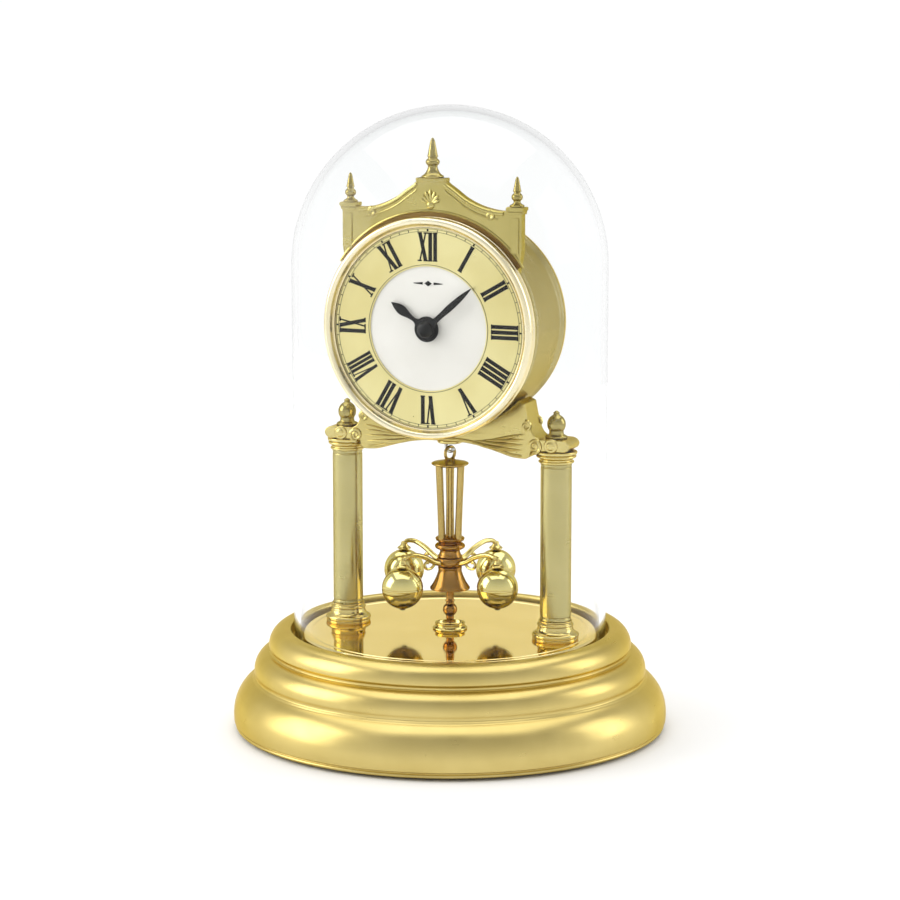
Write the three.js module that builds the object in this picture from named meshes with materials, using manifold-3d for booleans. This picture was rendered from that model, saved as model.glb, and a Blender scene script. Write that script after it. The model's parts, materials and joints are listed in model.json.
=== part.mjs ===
// Anniversary clock: a stepped round base, two columns, an arched bridge that carries the drum with
// its dial and three-spired pediment, a turning four-ball pendulum, and a glass dome over it all.
// Millimetres, +Z up, the dial faces -Y, the origin is the centre of the plane the clock rests on.
import * as THREE from "three";
import { mergeVertices } from "three/addons/utils/BufferGeometryUtils.js";
import Module from "manifold-3d";

const wasm = await Module();
wasm.setup();

// ---------------------------------------------------------------- driving dimensions
const GAP = 0.3; // between pieces that touch along a curved face
const PIN_GAP = 0.25; // radial, between a shaft and its hole

const BASE = {
  radius: 80, underside: 1, deck: 33, deckUnder: 30.8, deckBore: 34, rim: 37.4,
  grooveInner: 54.6, grooveOuter: 58.6, plateTop: 36.2, coverRadius: 76.3, footCircle: 62,
};
const DOME = { radius: 57.4, wall: 2.2, bottom: 33.2, top: 228.6 };
const COLUMN = {
  x: 41.2, shaft: 5.6, shaftBottom: 43, shaftTop: 101, capTop: 105.4, bolt: 2, nutTop: 120,
};
const BRIDGE = { half: 6, middle: 107.2, end: 105.5, endTop: 110, reach: 48, saddle: 38.9 };
const DRUM = { z: 150, radius: 38.5, wall: 1.6, front: -19.8, back: 17 };
const BEZEL = { radius: 39.9, inner: 36.2, skirt: -18.7 };
const DIAL = { radius: 37.6, front: -20.7, back: -20, ringInner: 22.3, ringOuter: 36, ringFront: -21.1 };
const CREST = { front: -18.4, back: -14.2, towerX: 31.9, towerTop: 44, peak: 53.4 };
const HANDS = { minutes: 8.1, hours: 10 + 8.1 / 60, minuteLength: 23.5, hourLength: 16.4 };
const COVER = { radius: 38.2, front: 17.1, back: 18.6 };
const REAR_SCREW = { x: 30, z: -16, radius: 1, boss: 3.4, bossFront: 9, tip: 12 };
const DOOR = {
  halfWidth: 26.2, bottom: 7.2, top: 23.4, front: 17.6, back: 18.8, clear: 0.7, lipHalf: 6,
  pinY: 20.1, pinZ: 24.2, pin: 0.5, knuckle: 8, knuckleRadius: 1.3, lug: 3.8,
};
const TRAIN = { distance: 12, going: 0.75, hour: 0.8, third: 0.672, thirdX: -10.08 };
const PENDULUM = {
  armRadius: 24.3, ball: 7.5, ballZ: 55, tip: 37.8, loopZ: 101.8, loop: 2.4, wire: 0.6, restTurn: 67,
  discZ: 97.6, collarZ: 70.4, rodTop: 5.6, rodBottom: 4.2, rod: 1.05, spine: 1.15, arm: 0.9, bore: 1.5,
};

// ---------------------------------------------------------------- shape helpers
const degrees = (a) => (a * Math.PI) / 180;
const range = (n) => Array.from({ length: n }, (_, i) => i);

// Points [r, z] on an ellipse about [r, z], from one angle to another in degrees.
function arc(r, z, radiusR, radiusZ, from, to, steps) {
  return range(steps + 1).map((i) => {
    const t = degrees(from + ((to - from) * i) / steps);
    return [r + radiusR * Math.cos(t), z + radiusZ * Math.sin(t)];
  });
}

// A profile of [radius, height] turned about the Y axis. It ends on the axis or closes on itself.
function turnedY(profile, segments) {
  const area = profile.reduce((sum, [r, h], i) => {
    const [r2, h2] = profile[(i + 1) % profile.length];
    return sum + r * h2 - r2 * h;
  }, 0);
  const points = profile.map(([r, h]) => new THREE.Vector2(Math.max(r, 0), h));
  if (area < 0) points.reverse();
  const onAxis = points[0].x === 0 && points.at(-1).x === 0;
  if (!onAxis) points.push(points[0].clone());
  return new THREE.LatheGeometry(points, segments);
}
const turned = (profile, segments) => turnedY(profile, segments).rotateX(Math.PI / 2);

function rodZ(radius, bottom, top, segments = 16) {
  return turned([[0, bottom], [radius, bottom], [radius, top], [0, top]], segments);
}
function rodY(radius, front, back, segments = 16) {
  return turnedY([[0, front], [radius, front], [radius, back], [0, back]], segments);
}
function box(x0, x1, y0, y1, z0, z1) {
  const g = new THREE.BoxGeometry(x1 - x0, y1 - y0, z1 - z0);
  return g.translate((x0 + x1) / 2, (y0 + y1) / 2, (z0 + z1) / 2);
}

// A shape drawn in X and Z, made thick along Y.
function slab(shape, front, back, curveSegments = 8) {
  const options = { depth: back - front, bevelEnabled: false, curveSegments };
  return new THREE.ExtrudeGeometry(shape, options).rotateX(Math.PI / 2).translate(0, back, 0);
}

// A round wire along a smooth curve through the points.
function wire(points, radius, sides, steps) {
  const section = new THREE.Shape();
  range(sides).forEach((i) => {
    const t = (2 * Math.PI * i) / sides;
    const [x, y] = [radius * Math.cos(t), radius * Math.sin(t)];
    if (i) section.lineTo(x, y);
    else section.moveTo(x, y);
  });
  const path = new THREE.CatmullRomCurve3(points.map((p) => new THREE.Vector3(...p)));
  return new THREE.ExtrudeGeometry(section, { steps, bevelEnabled: false, extrudePath: path });
}

// A gear in X and Z with its first tooth at an angle in degrees. The teeth are slim, for backlash.
function gearShape(teeth, module, tooth, bore = 0) {
  const shape = new THREE.Shape();
  const [tip, root] = [(module * (teeth + 1.7)) / 2, (module * (teeth - 2.5)) / 2];
  const pitch = 360 / teeth;
  const corners = [[root, -0.25], [tip, -0.1], [tip, 0.1], [root, 0.25]];
  range(teeth).forEach((i) =>
    corners.forEach(([r, share], k) => {
      const t = degrees(tooth + pitch * (i + share));
      if (i + k) shape.lineTo(r * Math.cos(t), r * Math.sin(t));
      else shape.moveTo(r * Math.cos(t), r * Math.sin(t));
    }),
  );
  if (bore) shape.holes.push(new THREE.Path().absarc(0, 0, bore, 0, 2 * Math.PI, true));
  return shape;
}

// ---------------------------------------------------------------- booleans
function solid(geometry) {
  const g = (geometry.index ? geometry.toNonIndexed() : geometry.clone())
    .deleteAttribute("normal")
    .deleteAttribute("uv");
  const merged = mergeVertices(g, 1e-4);
  return new wasm.Manifold(
    new wasm.Mesh({
      numProp: 3,
      vertProperties: merged.attributes.position.array,
      triVerts: new Uint32Array(merged.index.array),
    }),
  );
}

function geometryOf(manifold) {
  const { vertProperties, triVerts, numProp, numVert } = manifold.getMesh();
  const positions = new Float32Array(numVert * 3);
  range(numVert).forEach((i) =>
    positions.set(vertProperties.subarray(i * numProp, i * numProp + 3), i * 3),
  );
  const g = new THREE.BufferGeometry();
  g.setAttribute("position", new THREE.BufferAttribute(positions, 3));
  g.setIndex(new THREE.BufferAttribute(triVerts, 1));
  return g;
}

const joined = (...pieces) => geometryOf(pieces.map(solid).reduce((a, b) => a.add(b)));
const cut = (body, ...tools) =>
  geometryOf(tools.map(solid).reduce((a, b) => a.subtract(b), solid(body)));

// ---------------------------------------------------------------- materials
const metal = (color, roughness) =>
  new THREE.MeshStandardMaterial({ color, roughness, metalness: 1 });
const plain = (color, roughness) =>
  new THREE.MeshStandardMaterial({ color, roughness, metalness: 0 });
const FINISH = {
  brass: metal(0xd9b95a, 0.22),
  satinBrass: metal(0xd2b566, 0.38),
  mirrorBrass: metal(0xdcc070, 0.1),
  deepBrass: metal(0xb9812c, 0.24),
  steel: metal(0xb8bcc0, 0.35),
  copper: metal(0xb87333, 0.4),
  glass: new THREE.MeshStandardMaterial({ color: 0xf4f8fa, opacity: 0.2, transparent: true }),
  cream: plain(0xf3efe2, 0.6),
  black: plain(0x0c0c0c, 0.35),
  blackPlastic: plain(0x1b1b1d, 0.55),
  rubber: plain(0x222222, 0.9),
  board: plain(0x2e5e3a, 0.6),
  cell: plain(0x3a4a63, 0.4),
};

const clock = new THREE.Group();
function add(name, geometry, material, x = 0, z = 0) {
  const mesh = new THREE.Mesh(geometry, material);
  mesh.name = name;
  mesh.position.set(x, 0, z);
  clock.add(mesh);
  return mesh;
}
const sides = [["left", -1], ["right", 1]];

// ---------------------------------------------------------------- base
const ROUND = 28; // segments of the large turned pieces

// Two cutters for the tie bolts, through whatever lies between two heights.
function boltHoles(bottom, top) {
  const hole = () => rodZ(COLUMN.bolt + PIN_GAP, bottom - 1, top + 1, 12);
  return sides.map(([, s]) => hole().translate(s * COLUMN.x, 0, 0));
}

// Three mouldings step out from the rim down to the foot; the deck inside carries the top plate.
function plinth() {
  const outer = [
    [78.6, BASE.underside],
    [80, 3.6],
    ...arc(68, 4.6, 12, 15.4, 10, 64, 3),
    [72.2, 19.2],
    ...arc(66.5, 20.6, 5.9, 7.6, 0, 78, 2),
    [66.4, 28.9],
    ...arc(60.6, 30.2, 6.2, 7.2, 0, 90, 3),
  ];
  const deck = [
    [BASE.grooveOuter, BASE.rim],
    [BASE.grooveOuter, BASE.deck],
    [BASE.deckBore, BASE.deck],
    [BASE.deckBore, BASE.deckUnder],
  ];
  const inside = [[58, BASE.deckUnder], [64, 25], [70.4, 17], [76.8, 4.4]];
  const ring = turned([...outer, ...deck, ...inside, [76.8, BASE.underside]], ROUND);
  return cut(ring, ...boltHoles(BASE.deckUnder, BASE.deck));
}

function topPlate() {
  const edge = BASE.grooveInner - GAP;
  const chamfer = 0.5;
  const profile = [
    [0, BASE.deck], [edge, BASE.deck], [edge, BASE.plateTop - chamfer],
    [edge - chamfer, BASE.plateTop], [0, BASE.plateTop],
  ];
  return cut(turned(profile, ROUND), ...boltHoles(BASE.deck, BASE.plateTop));
}

add("base_plinth", plinth(), FINISH.satinBrass);
add("base_top_plate", topPlate(), FINISH.mirrorBrass);

const COVER_PLATE = { bottom: 1.4, top: 3, footHole: 3 };
const footPlaces = range(3).map((i) => {
  const t = degrees(-90 + 120 * i);
  return [BASE.footCircle * Math.cos(t), BASE.footCircle * Math.sin(t)];
});
const coverDisc = rodZ(BASE.coverRadius, COVER_PLATE.bottom, COVER_PLATE.top, ROUND);
const coverHoles = footPlaces.map(([x, y]) =>
  rodZ(COVER_PLATE.footHole, 0, COVER_PLATE.top + 1, 10).translate(x, y, 0),
);
add("base_bottom_cover", cut(coverDisc, ...coverHoles), FINISH.blackPlastic);

// A rubber foot is pushed through the cover: a pad below it, a neck, and a barb above.
const footProfile = [
  [0, 0], [6, 0], [6, 1.1], [2.6, 1.1], [2.6, 3.3], [3.6, 3.6], [2, 5.4], [0, 5.4],
];
footPlaces.forEach(([x, y], i) =>
  add(`base_foot_${i + 1}`, turned(footProfile, 14).translate(x, y, 0), FINISH.rubber),
);

// A shallow cup on the plate, round the tip of the pendulum.
const cupProfile = [
  [0, BASE.plateTop], [6.4, BASE.plateTop], [6.2, 37.1], [5.4, 37.5], [5.5, 38.6], [4.8, 38.6],
  [4.4, 37.3], [0, 36.8],
];
add("pendulum_guide_cup", turned(cupProfile, 16), FINISH.brass);

// ---------------------------------------------------------------- columns
const bore = COLUMN.bolt + PIN_GAP;
const footTurning = [
  [bore, BASE.plateTop], [8.2, BASE.plateTop], [8.5, 37.6], [7.9, 38.6], [6.7, 39.2],
  [6.2, 40.6], [6.5, 42], [6.2, COLUMN.shaftBottom], [bore, COLUMN.shaftBottom],
];
const shaftTurning = [
  [bore, COLUMN.shaftBottom], [COLUMN.shaft, COLUMN.shaftBottom],
  [COLUMN.shaft, COLUMN.shaftTop], [bore, COLUMN.shaftTop],
];
const capitalTurning = [
  [bore, COLUMN.shaftTop], [6.2, COLUMN.shaftTop], [6.4, 101.9], [6, 102.4],
  [7.2, 103.5], [6.9, 104.3], [7.5, 104.5], [7.5, COLUMN.capTop], [bore, COLUMN.capTop],
];
const NUT = { bottom: 110.1, boreTop: 114.4, ballZ: 115 };
const nutTurning = [
  [0, NUT.boreTop], [bore, NUT.boreTop], [bore, NUT.bottom], [4, NUT.bottom], [4, 111],
  [2.9, 111.6], ...arc(0, NUT.ballZ, 3.3, 3.6, -30, 65, 3), [0.9, 118.8], [0, COLUMN.nutTop],
];
function tieBolt() {
  const [bottom, top] = [BASE.deckUnder - 3.3, BASE.deckUnder - 0.1];
  return joined(rodZ(4, bottom, top, 6), rodZ(COLUMN.bolt, bottom + 1, NUT.boreTop - 0.8, 12));
}
sides.forEach(([side, s]) => {
  const x = s * COLUMN.x;
  add(`column_foot_${side}`, turned(footTurning, 16), FINISH.brass, x);
  add(`column_shaft_${side}`, turned(shaftTurning, 16), FINISH.satinBrass, x);
  add(`column_capital_${side}`, turned(capitalTurning, 16), FINISH.brass, x);
  add(`column_ball_nut_${side}`, turned(nutTurning, 14), FINISH.brass, x);
  add(`tie_bolt_${side}`, tieBolt(), FINISH.steel, x);
});

// ---------------------------------------------------------------- bridge
const BUSH = { radius: 3, flange: 4.6, bottom: 105.7, top: 117.4, bore: 2 };

// An arched bar, with a horn at each end that runs up beside the drum.
function bridge() {
  const shape = new THREE.Shape();
  const horn = Math.atan2(-26, 30); // where the horn ends on the saddle, seen from the drum's axis
  shape.moveTo(0, BRIDGE.middle);
  const half = (s) => [
    [8, 107], [15, 105.9], [21, 104.3], [26, 102.9], [30, 102.5], [33, 103.6], [33.4, BRIDGE.end],
    [45, BRIDGE.end], [47.2, 106], [BRIDGE.reach, 107.7], [47.2, 109.4], [45, BRIDGE.endTop],
    [36.6, BRIDGE.endTop], [34.6, 111.4], [33.2, 114.5], [32.2, 118.5], [31.4, 123],
  ].map(([x, z]) => [s * x, z]);
  half(1).forEach(([x, z]) => shape.lineTo(x, z));
  shape.absarc(0, DRUM.z, BRIDGE.saddle, horn, -Math.PI - horn, true);
  half(-1).reverse().forEach(([x, z]) => shape.lineTo(x, z));
  const bar = slab(shape, -BRIDGE.half, BRIDGE.half, 8);
  const bushHole = rodZ(BUSH.radius + PIN_GAP, BRIDGE.middle - 5, BRIDGE.endTop + 5, 12);
  return cut(bar, bushHole, ...boltHoles(BRIDGE.end, BRIDGE.endTop));
}
add("bridge", bridge(), FINISH.brass);

// A hollow bush clamps the pendulum motor, the drum and the bridge, and the drive turns in it.
const bushTurning = [
  [BUSH.bore, BUSH.bottom], [BUSH.flange, BUSH.bottom], [BUSH.flange, BRIDGE.middle - 0.4],
  [BUSH.radius, BRIDGE.middle - 0.4], [BUSH.radius, BUSH.top], [BUSH.bore, BUSH.top],
];
add("drum_clamp_bush", turned(bushTurning, 16), FINISH.brass);

// ---------------------------------------------------------------- drum and dial
const drumInside = DRUM.radius - DRUM.wall;
const ringPlate = (inner, outer, front, back) =>
  turnedY([[inner, front], [outer, front], [outer, back], [inner, back]], ROUND);

// A rod along Y at each of the rear cover's two screws.
function atRearScrews(radius, front, back, segments) {
  const rod = () => rodY(radius, front, back, segments);
  return sides.map(([, s]) => rod().translate(s * REAR_SCREW.x, 0, REAR_SCREW.z));
}

function drumCase() {
  const tube = ringPlate(drumInside, DRUM.radius, DRUM.front, DRUM.back);
  const bosses = atRearScrews(REAR_SCREW.boss, REAR_SCREW.bossFront, DRUM.back - 0.2, 10);
  const tapped = atRearScrews(REAR_SCREW.radius + PIN_GAP, REAR_SCREW.tip, DRUM.back + 1, 8);
  const bushHole = rodZ(BUSH.radius + PIN_GAP, -DRUM.radius - 2, 2 - drumInside, 12);
  return cut(joined(tube, ...bosses), bushHole, ...tapped);
}
add("drum_case", drumCase(), FINISH.brass, 0, DRUM.z);

const bezelProfile = [
  [DRUM.radius + GAP, BEZEL.skirt], [BEZEL.radius, BEZEL.skirt], [BEZEL.radius, -20.6],
  ...arc(38.3, -22.2, 1.5, 1.8, -20, -150, 3), [BEZEL.inner + 0.2, -21.9], [BEZEL.inner, DIAL.front - 0.1],
  [DIAL.radius + GAP, DIAL.front - 0.1], [DRUM.radius + GAP, DRUM.front - 0.1],
];
add("bezel", turnedY(bezelProfile, ROUND), FINISH.brass, 0, DRUM.z);

add("dial_plate", ringPlate(3, DIAL.radius, DIAL.front, DIAL.back), FINISH.cream, 0, DRUM.z);
const chapterRing = ringPlate(DIAL.ringInner, DIAL.ringOuter, DIAL.ringFront, DIAL.front);
add("chapter_ring", chapterRing, FINISH.satinBrass, 0, DRUM.z);

// ---------------------------------------------------------------- pediment
function pediment() {
  const shape = new THREE.Shape();
  const seat = DRUM.radius + GAP;
  const start = degrees(32);
  const tower = (s) => [
    [33.8, 25.4], [34.3, 28.4], [34.3, 41.4], [35, 42], [35, CREST.towerTop], [28.8, CREST.towerTop],
    [28.8, 42.6], [25.6, 42.3], [19, 43.6], [12.6, 46.8], [8, 50.4], [5.4, 52.2], [5.4, CREST.peak],
  ].map(([x, z]) => [s * x, z]);
  shape.moveTo(seat * Math.cos(start), seat * Math.sin(start));
  tower(1).forEach(([x, z]) => shape.lineTo(x, z));
  tower(-1).reverse().forEach(([x, z]) => shape.lineTo(x, z));
  shape.absarc(0, 0, seat, Math.PI - start, start, true);
  return slab(shape, CREST.front, CREST.back, 10);
}
add("pediment", pediment(), FINISH.brass, 0, DRUM.z);

const crestY = (CREST.front + CREST.back) / 2;
const sideFinial = [
  [0, 0], [2.6, 0], [2.6, 0.8], [1.3, 1.6], ...arc(0, 3.4, 2, 1.7, -40, 50, 2), [1.3, 6],
  [0.6, 9.8], [0, 10.5],
];
const centreFinial = [
  [0, 0], [4, 0], [4, 0.9], [2.8, 2], [2.1, 3.8], ...arc(0, 5.6, 2.5, 1.6, -35, 45, 2), [1.7, 8.4],
  [0.8, 13.2], [0, 14],
];
function finial(name, profile, x, z) {
  add(name, turned(profile, 12).translate(0, crestY, 0), FINISH.brass, x, DRUM.z + z);
}
finial("finial_centre", centreFinial, 0, CREST.peak);
sides.forEach(([side, s]) =>
  finial(`finial_${side}`, sideFinial, s * CREST.towerX, CREST.towerTop),
);

// ---------------------------------------------------------------- motion work
// Places in X and Z about the drum's axis. The minute wheel and the set arbor stand one gear
// distance from the centre and from each other, so that their teeth line up with whole teeth.
const WHEEL_PLACE = [TRAIN.distance * Math.cos(degrees(-30)), -TRAIN.distance / 2];
const SET_Z = -TRAIN.distance;
const TEETH = { cannon: 8, minute: 24, pinion: 6, hour: 24, centre: 24, third: 6, thirdWheel: 18 };
// The Y range of each gear and arbor, front first.
const FLOOR = {
  cannon: [-14.3, -12.3], minute: [-14.1, -12.5], set: [-14.2, -12.4], pinion: [-17.4, -14],
  hour: [-17.2, -15.8], centre: [-10.6, -9.8], third: [-10.9, -9.5], thirdWheel: [-8.6, -7.8],
};
const ARBOR = {
  minute: { radius: 1.1, along: [-24.4, -5.6] }, wheel: { radius: 0.8, along: [-18.9, -11.6] },
  third: { radius: 0.7, along: [-11.5, -6.5] }, set: { radius: 1.2, along: [-14.9, 21] },
};
const PIPE = { inner: 1.4, outer: 2.4, front: -22.5, back: -15 }; // carries the hour hand
const KNOB = { radius: 5.6, flute: 0.4, flutes: 14, front: 19.4, back: 22.8 };

function gear(teeth, module, tooth, [front, back], bore = 0) {
  return slab(gearShape(teeth, module, tooth, bore), front, back, 4);
}
const arbor = ({ radius, along }) => rodY(radius, ...along, 12);
const gapAt = (direction, teeth) => direction + 180 / teeth; // a tooth beside a gap in that direction

function minuteArbor() {
  const cannon = gear(TEETH.cannon, TRAIN.going, gapAt(-30, TEETH.cannon), FLOOR.cannon);
  const centre = gear(TEETH.centre, TRAIN.third, 180, FLOOR.centre);
  return joined(arbor(ARBOR.minute), cannon, centre);
}
function hourWheel() {
  const wheel = gear(TEETH.hour, TRAIN.hour, -30, FLOOR.hour, PIPE.inner + 0.1);
  const { inner, outer, front, back } = PIPE;
  const pipe = turnedY([[inner, front], [outer, front], [outer, back], [inner, back]], 12);
  return joined(wheel, pipe);
}
function minuteWheel() {
  const wheel = gear(TEETH.minute, TRAIN.going, 150, FLOOR.minute);
  const pinion = gear(TEETH.pinion, TRAIN.hour, gapAt(150, TEETH.pinion), FLOOR.pinion);
  return joined(arbor(ARBOR.wheel), wheel, pinion);
}
function thirdWheel() {
  const pinion = gear(TEETH.third, TRAIN.third, gapAt(0, TEETH.third), FLOOR.third);
  const wheel = gear(TEETH.thirdWheel, TRAIN.third, 0, FLOOR.thirdWheel);
  return joined(arbor(ARBOR.third), pinion, wheel);
}
function setKnob() {
  const pinion = gear(TEETH.cannon, TRAIN.going, gapAt(30, TEETH.cannon), FLOOR.set);
  const knob = new THREE.Shape();
  range(KNOB.flutes * 2).forEach((i) => {
    const r = i % 2 ? KNOB.radius : KNOB.radius - KNOB.flute;
    const t = (Math.PI * i) / KNOB.flutes;
    if (i) knob.lineTo(r * Math.cos(t), r * Math.sin(t));
    else knob.moveTo(r, 0);
  });
  return joined(arbor(ARBOR.set), pinion, slab(knob, KNOB.front, KNOB.back));
}
add("minute_arbor", minuteArbor(), FINISH.steel, 0, DRUM.z);
add("hour_wheel", hourWheel(), FINISH.brass, 0, DRUM.z);
add("minute_wheel", minuteWheel(), FINISH.brass, WHEEL_PLACE[0], DRUM.z + WHEEL_PLACE[1]);
add("third_wheel", thirdWheel(), FINISH.brass, TRAIN.thirdX, DRUM.z);
add("set_knob", setKnob(), FINISH.blackPlastic, 0, DRUM.z + SET_Z);

// ---------------------------------------------------------------- hands
// A hand points up in its shape, then turns clockwise to its place on the dial.
function hand(length, width, collet, hole, [front, back], turn) {
  const shape = new THREE.Shape();
  const [rootHalf, bulge] = [width * 0.25, width * 0.95];
  const root = Math.sqrt(collet ** 2 - rootHalf ** 2);
  shape.moveTo(rootHalf, root);
  shape.quadraticCurveTo(bulge, length / 2, 0, length);
  shape.quadraticCurveTo(-bulge, length / 2, -rootHalf, root);
  const side = Math.atan2(root, rootHalf);
  shape.absarc(0, 0, collet, Math.PI - side, side + 2 * Math.PI, false);
  shape.holes.push(new THREE.Path().absarc(0, 0, hole, 0, 2 * Math.PI, true));
  return slab(shape, front, back, 8).rotateY(degrees(turn));
}
const minuteTurn = HANDS.minutes * 6;
const hourTurn = HANDS.hours * 30;
const minuteHand = hand(HANDS.minuteLength, 2.4, 3.7, 1.3, [-23.5, -23.1], minuteTurn);
const hourHand = hand(HANDS.hourLength, 3.6, 4.6, 2.6, [-22.5, -22.1], hourTurn);
add("minute_hand", minuteHand, FINISH.black, 0, DRUM.z);
add("hour_hand", hourHand, FINISH.black, 0, DRUM.z);
const capProfile = [
  [0, -25.8], ...arc(0, -24.2, 2.9, 1.6, -70, 0, 2), [2.9, -23.6],
  [1.3, -23.6], [1.3, -24.7], [0, -24.7],
];
add("hand_nut", turnedY(capProfile, 14), FINISH.black, 0, DRUM.z);

// ---------------------------------------------------------------- movement
const CASE = { halfWidth: 22, bottom: -18, top: 20, front: -19.6, split: -12, back: -5, wall: 1.2 };
const TRAY = { halfWidth: 27.2, bottom: 6.8, top: 23.2, back: 16.4, floor: -3.8, wall: 0.9 };
const CELL = { radius: 7.1, y: 8.3, z: 15, left: -24.4, right: 24.2, nub: 25.2 };

function caseHollow(front, back) {
  const side = CASE.halfWidth - CASE.wall;
  return box(-side, side, front, back, CASE.bottom + CASE.wall, CASE.top - CASE.wall);
}
function frontCase() {
  const shell = box(-CASE.halfWidth, CASE.halfWidth, CASE.front, CASE.split, CASE.bottom, CASE.top);
  const hollow = caseHollow(CASE.front + CASE.wall, CASE.split + 1);
  const pipeHole = rodY(PIPE.outer + GAP, CASE.front - 1, CASE.front + 2);
  const wheelHole = rodY(ARBOR.wheel.radius + PIN_GAP, CASE.front + 0.5, CASE.front + 2, 12);
  return cut(shell, hollow, pipeHole, wheelHole.translate(WHEEL_PLACE[0], 0, WHEEL_PLACE[1]));
}
function rearCase() {
  const side = TRAY.halfWidth - TRAY.wall;
  const [half, split] = [CASE.halfWidth, CASE.split + 0.2];
  const body = box(-half, half, split, CASE.back, CASE.bottom, CASE.top);
  const tray = box(-TRAY.halfWidth, TRAY.halfWidth, CASE.back - 0.1, TRAY.back, TRAY.bottom, TRAY.top);
  const hollow = caseHollow(CASE.split, CASE.back - CASE.wall);
  const nest = box(-side, side, TRAY.floor, TRAY.back + 1, TRAY.bottom + TRAY.wall, TRAY.top - TRAY.wall);
  const arborHole = rodY(ARBOR.minute.radius + GAP, CASE.back - 2, CASE.back - 0.4, 12);
  const setHole = rodY(ARBOR.set.radius + GAP, CASE.back - 2, CASE.back + 1, 12).translate(0, 0, SET_Z);
  return cut(joined(body, tray), hollow, nest, arborHole, setHole);
}
add("movement_front_case", frontCase(), FINISH.blackPlastic, 0, DRUM.z);
add("movement_rear_case", rearCase(), FINISH.blackPlastic, 0, DRUM.z);
add("circuit_board", box(-19, 19, -11.7, -10.9, 10.6, 18.4), FINISH.board, 0, DRUM.z);

// The stepping motor's coil: a winding between two flanges, its axis along X.
const COIL = { half: 11, flange: 2.8, winding: 2.2, y: -15.2, z: 14.6 };
const coilTurning = [
  [0, -COIL.half], [COIL.flange, -COIL.half], [COIL.flange, 1 - COIL.half], [COIL.winding, 1 - COIL.half],
  [COIL.winding, COIL.half - 1], [COIL.flange, COIL.half - 1], [COIL.flange, COIL.half], [0, COIL.half],
];
const alongX = (profile, segments) => turnedY(profile, segments).rotateZ(-Math.PI / 2);
const coil = alongX(coilTurning, 14).translate(0, COIL.y, COIL.z);
add("stepping_motor_coil", coil, FINISH.copper, 0, DRUM.z);

const cellTurning = [
  [0, CELL.left], [CELL.radius, CELL.left], [CELL.radius, CELL.right], [2.7, CELL.right],
  [2.7, CELL.nub], [0, CELL.nub],
];
const cell = alongX(cellTurning, 20).translate(0, CELL.y, CELL.z);
add("battery_cell", cell, FINISH.cell, 0, DRUM.z);
const CONTACT = { half: 4.5, front: 25.5, back: 26 };
const plate = box(
  CONTACT.front, CONTACT.back, CELL.y - CONTACT.half, CELL.y + CONTACT.half,
  CELL.z - CONTACT.half, CELL.z + CONTACT.half,
);
add("battery_contact_plus", plate, FINISH.steel, 0, DRUM.z);
const springTurning = [[0, -25.9], [4, -25.9], [4, -25.3], [2.4, -24.6], [0, -24.6]];
const spring = alongX(springTurning, 14).translate(0, CELL.y, CELL.z);
add("battery_contact_minus", spring, FINISH.steel, 0, DRUM.z);

const MOTOR = { halfWidth: 10.4, front: -3.6, back: 13.6, bottom: 115.4, top: 130.4, boreTop: 128.6 };
const DRIVE = { radius: 1.5, bottom: 107, top: 128 };
function pendulumMotor() {
  const { halfWidth, front, back, bottom, top, boreTop } = MOTOR;
  const body = box(-halfWidth, halfWidth, front, back, bottom, top);
  const bushHole = rodZ(BUSH.radius + PIN_GAP, bottom - 1, BUSH.top + 0.4, 12);
  return cut(body, bushHole, rodZ(DRIVE.radius + PIN_GAP, bottom - 1, boreTop, 12));
}
add("pendulum_motor", pendulumMotor(), FINISH.blackPlastic);

// ---------------------------------------------------------------- rear cover
// A rod along X on the axis of the door's hinge.
function hingeRod(radius, from, to, segments) {
  const rod = rodY(radius, from, to, segments).rotateZ(-Math.PI / 2);
  return rod.translate(0, DOOR.pinY, DOOR.pinZ);
}
const hingeEnd = DOOR.knuckle + DOOR.lug + 0.4;
const pinHole = () => hingeRod(DOOR.pin + GAP, -hingeEnd - 2, hingeEnd + 2, 8);

function rearCover() {
  const chamfer = 0.5;
  const profile = [
    [0, COVER.front], [COVER.radius, COVER.front], [COVER.radius, COVER.back - chamfer],
    [COVER.radius - chamfer, COVER.back], [0, COVER.back],
  ];
  const through = [COVER.front - 1, COVER.back + 1];
  const side = DOOR.halfWidth + DOOR.clear;
  const hatch = box(-side, side, ...through, DOOR.bottom - DOOR.clear, DOOR.top + DOOR.clear);
  const setHole = rodY(ARBOR.set.radius + 0.4, ...through, 12).translate(0, 0, SET_Z);
  const screwHoles = atRearScrews(REAR_SCREW.radius + GAP, ...through, 10);
  const lugs = sides.flatMap(([, s]) => {
    const ends = [s * (DOOR.knuckle + 0.4), s * hingeEnd].sort((a, b) => a - b);
    const foot = box(...ends, COVER.back - 0.4, DOOR.pinY + 0.5, DOOR.pinZ + 0.2, DOOR.pinZ + 1.3);
    return [hingeRod(DOOR.knuckleRadius, ...ends, 10), foot];
  });
  return cut(joined(turnedY(profile, ROUND), ...lugs), hatch, setHole, ...screwHoles, pinHole());
}
add("rear_cover", rearCover(), FINISH.satinBrass, 0, DRUM.z);
const rearScrew = [
  [0, 14], [REAR_SCREW.radius, 14], [REAR_SCREW.radius, COVER.back + 0.1],
  [2.5, COVER.back + 0.1], [2.3, 19.6], [0, 19.8],
];
sides.forEach(([side, s]) =>
  add(`rear_screw_${side}`, turnedY(rearScrew, 12), FINISH.steel, s * REAR_SCREW.x, DRUM.z + REAR_SCREW.z),
);

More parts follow.
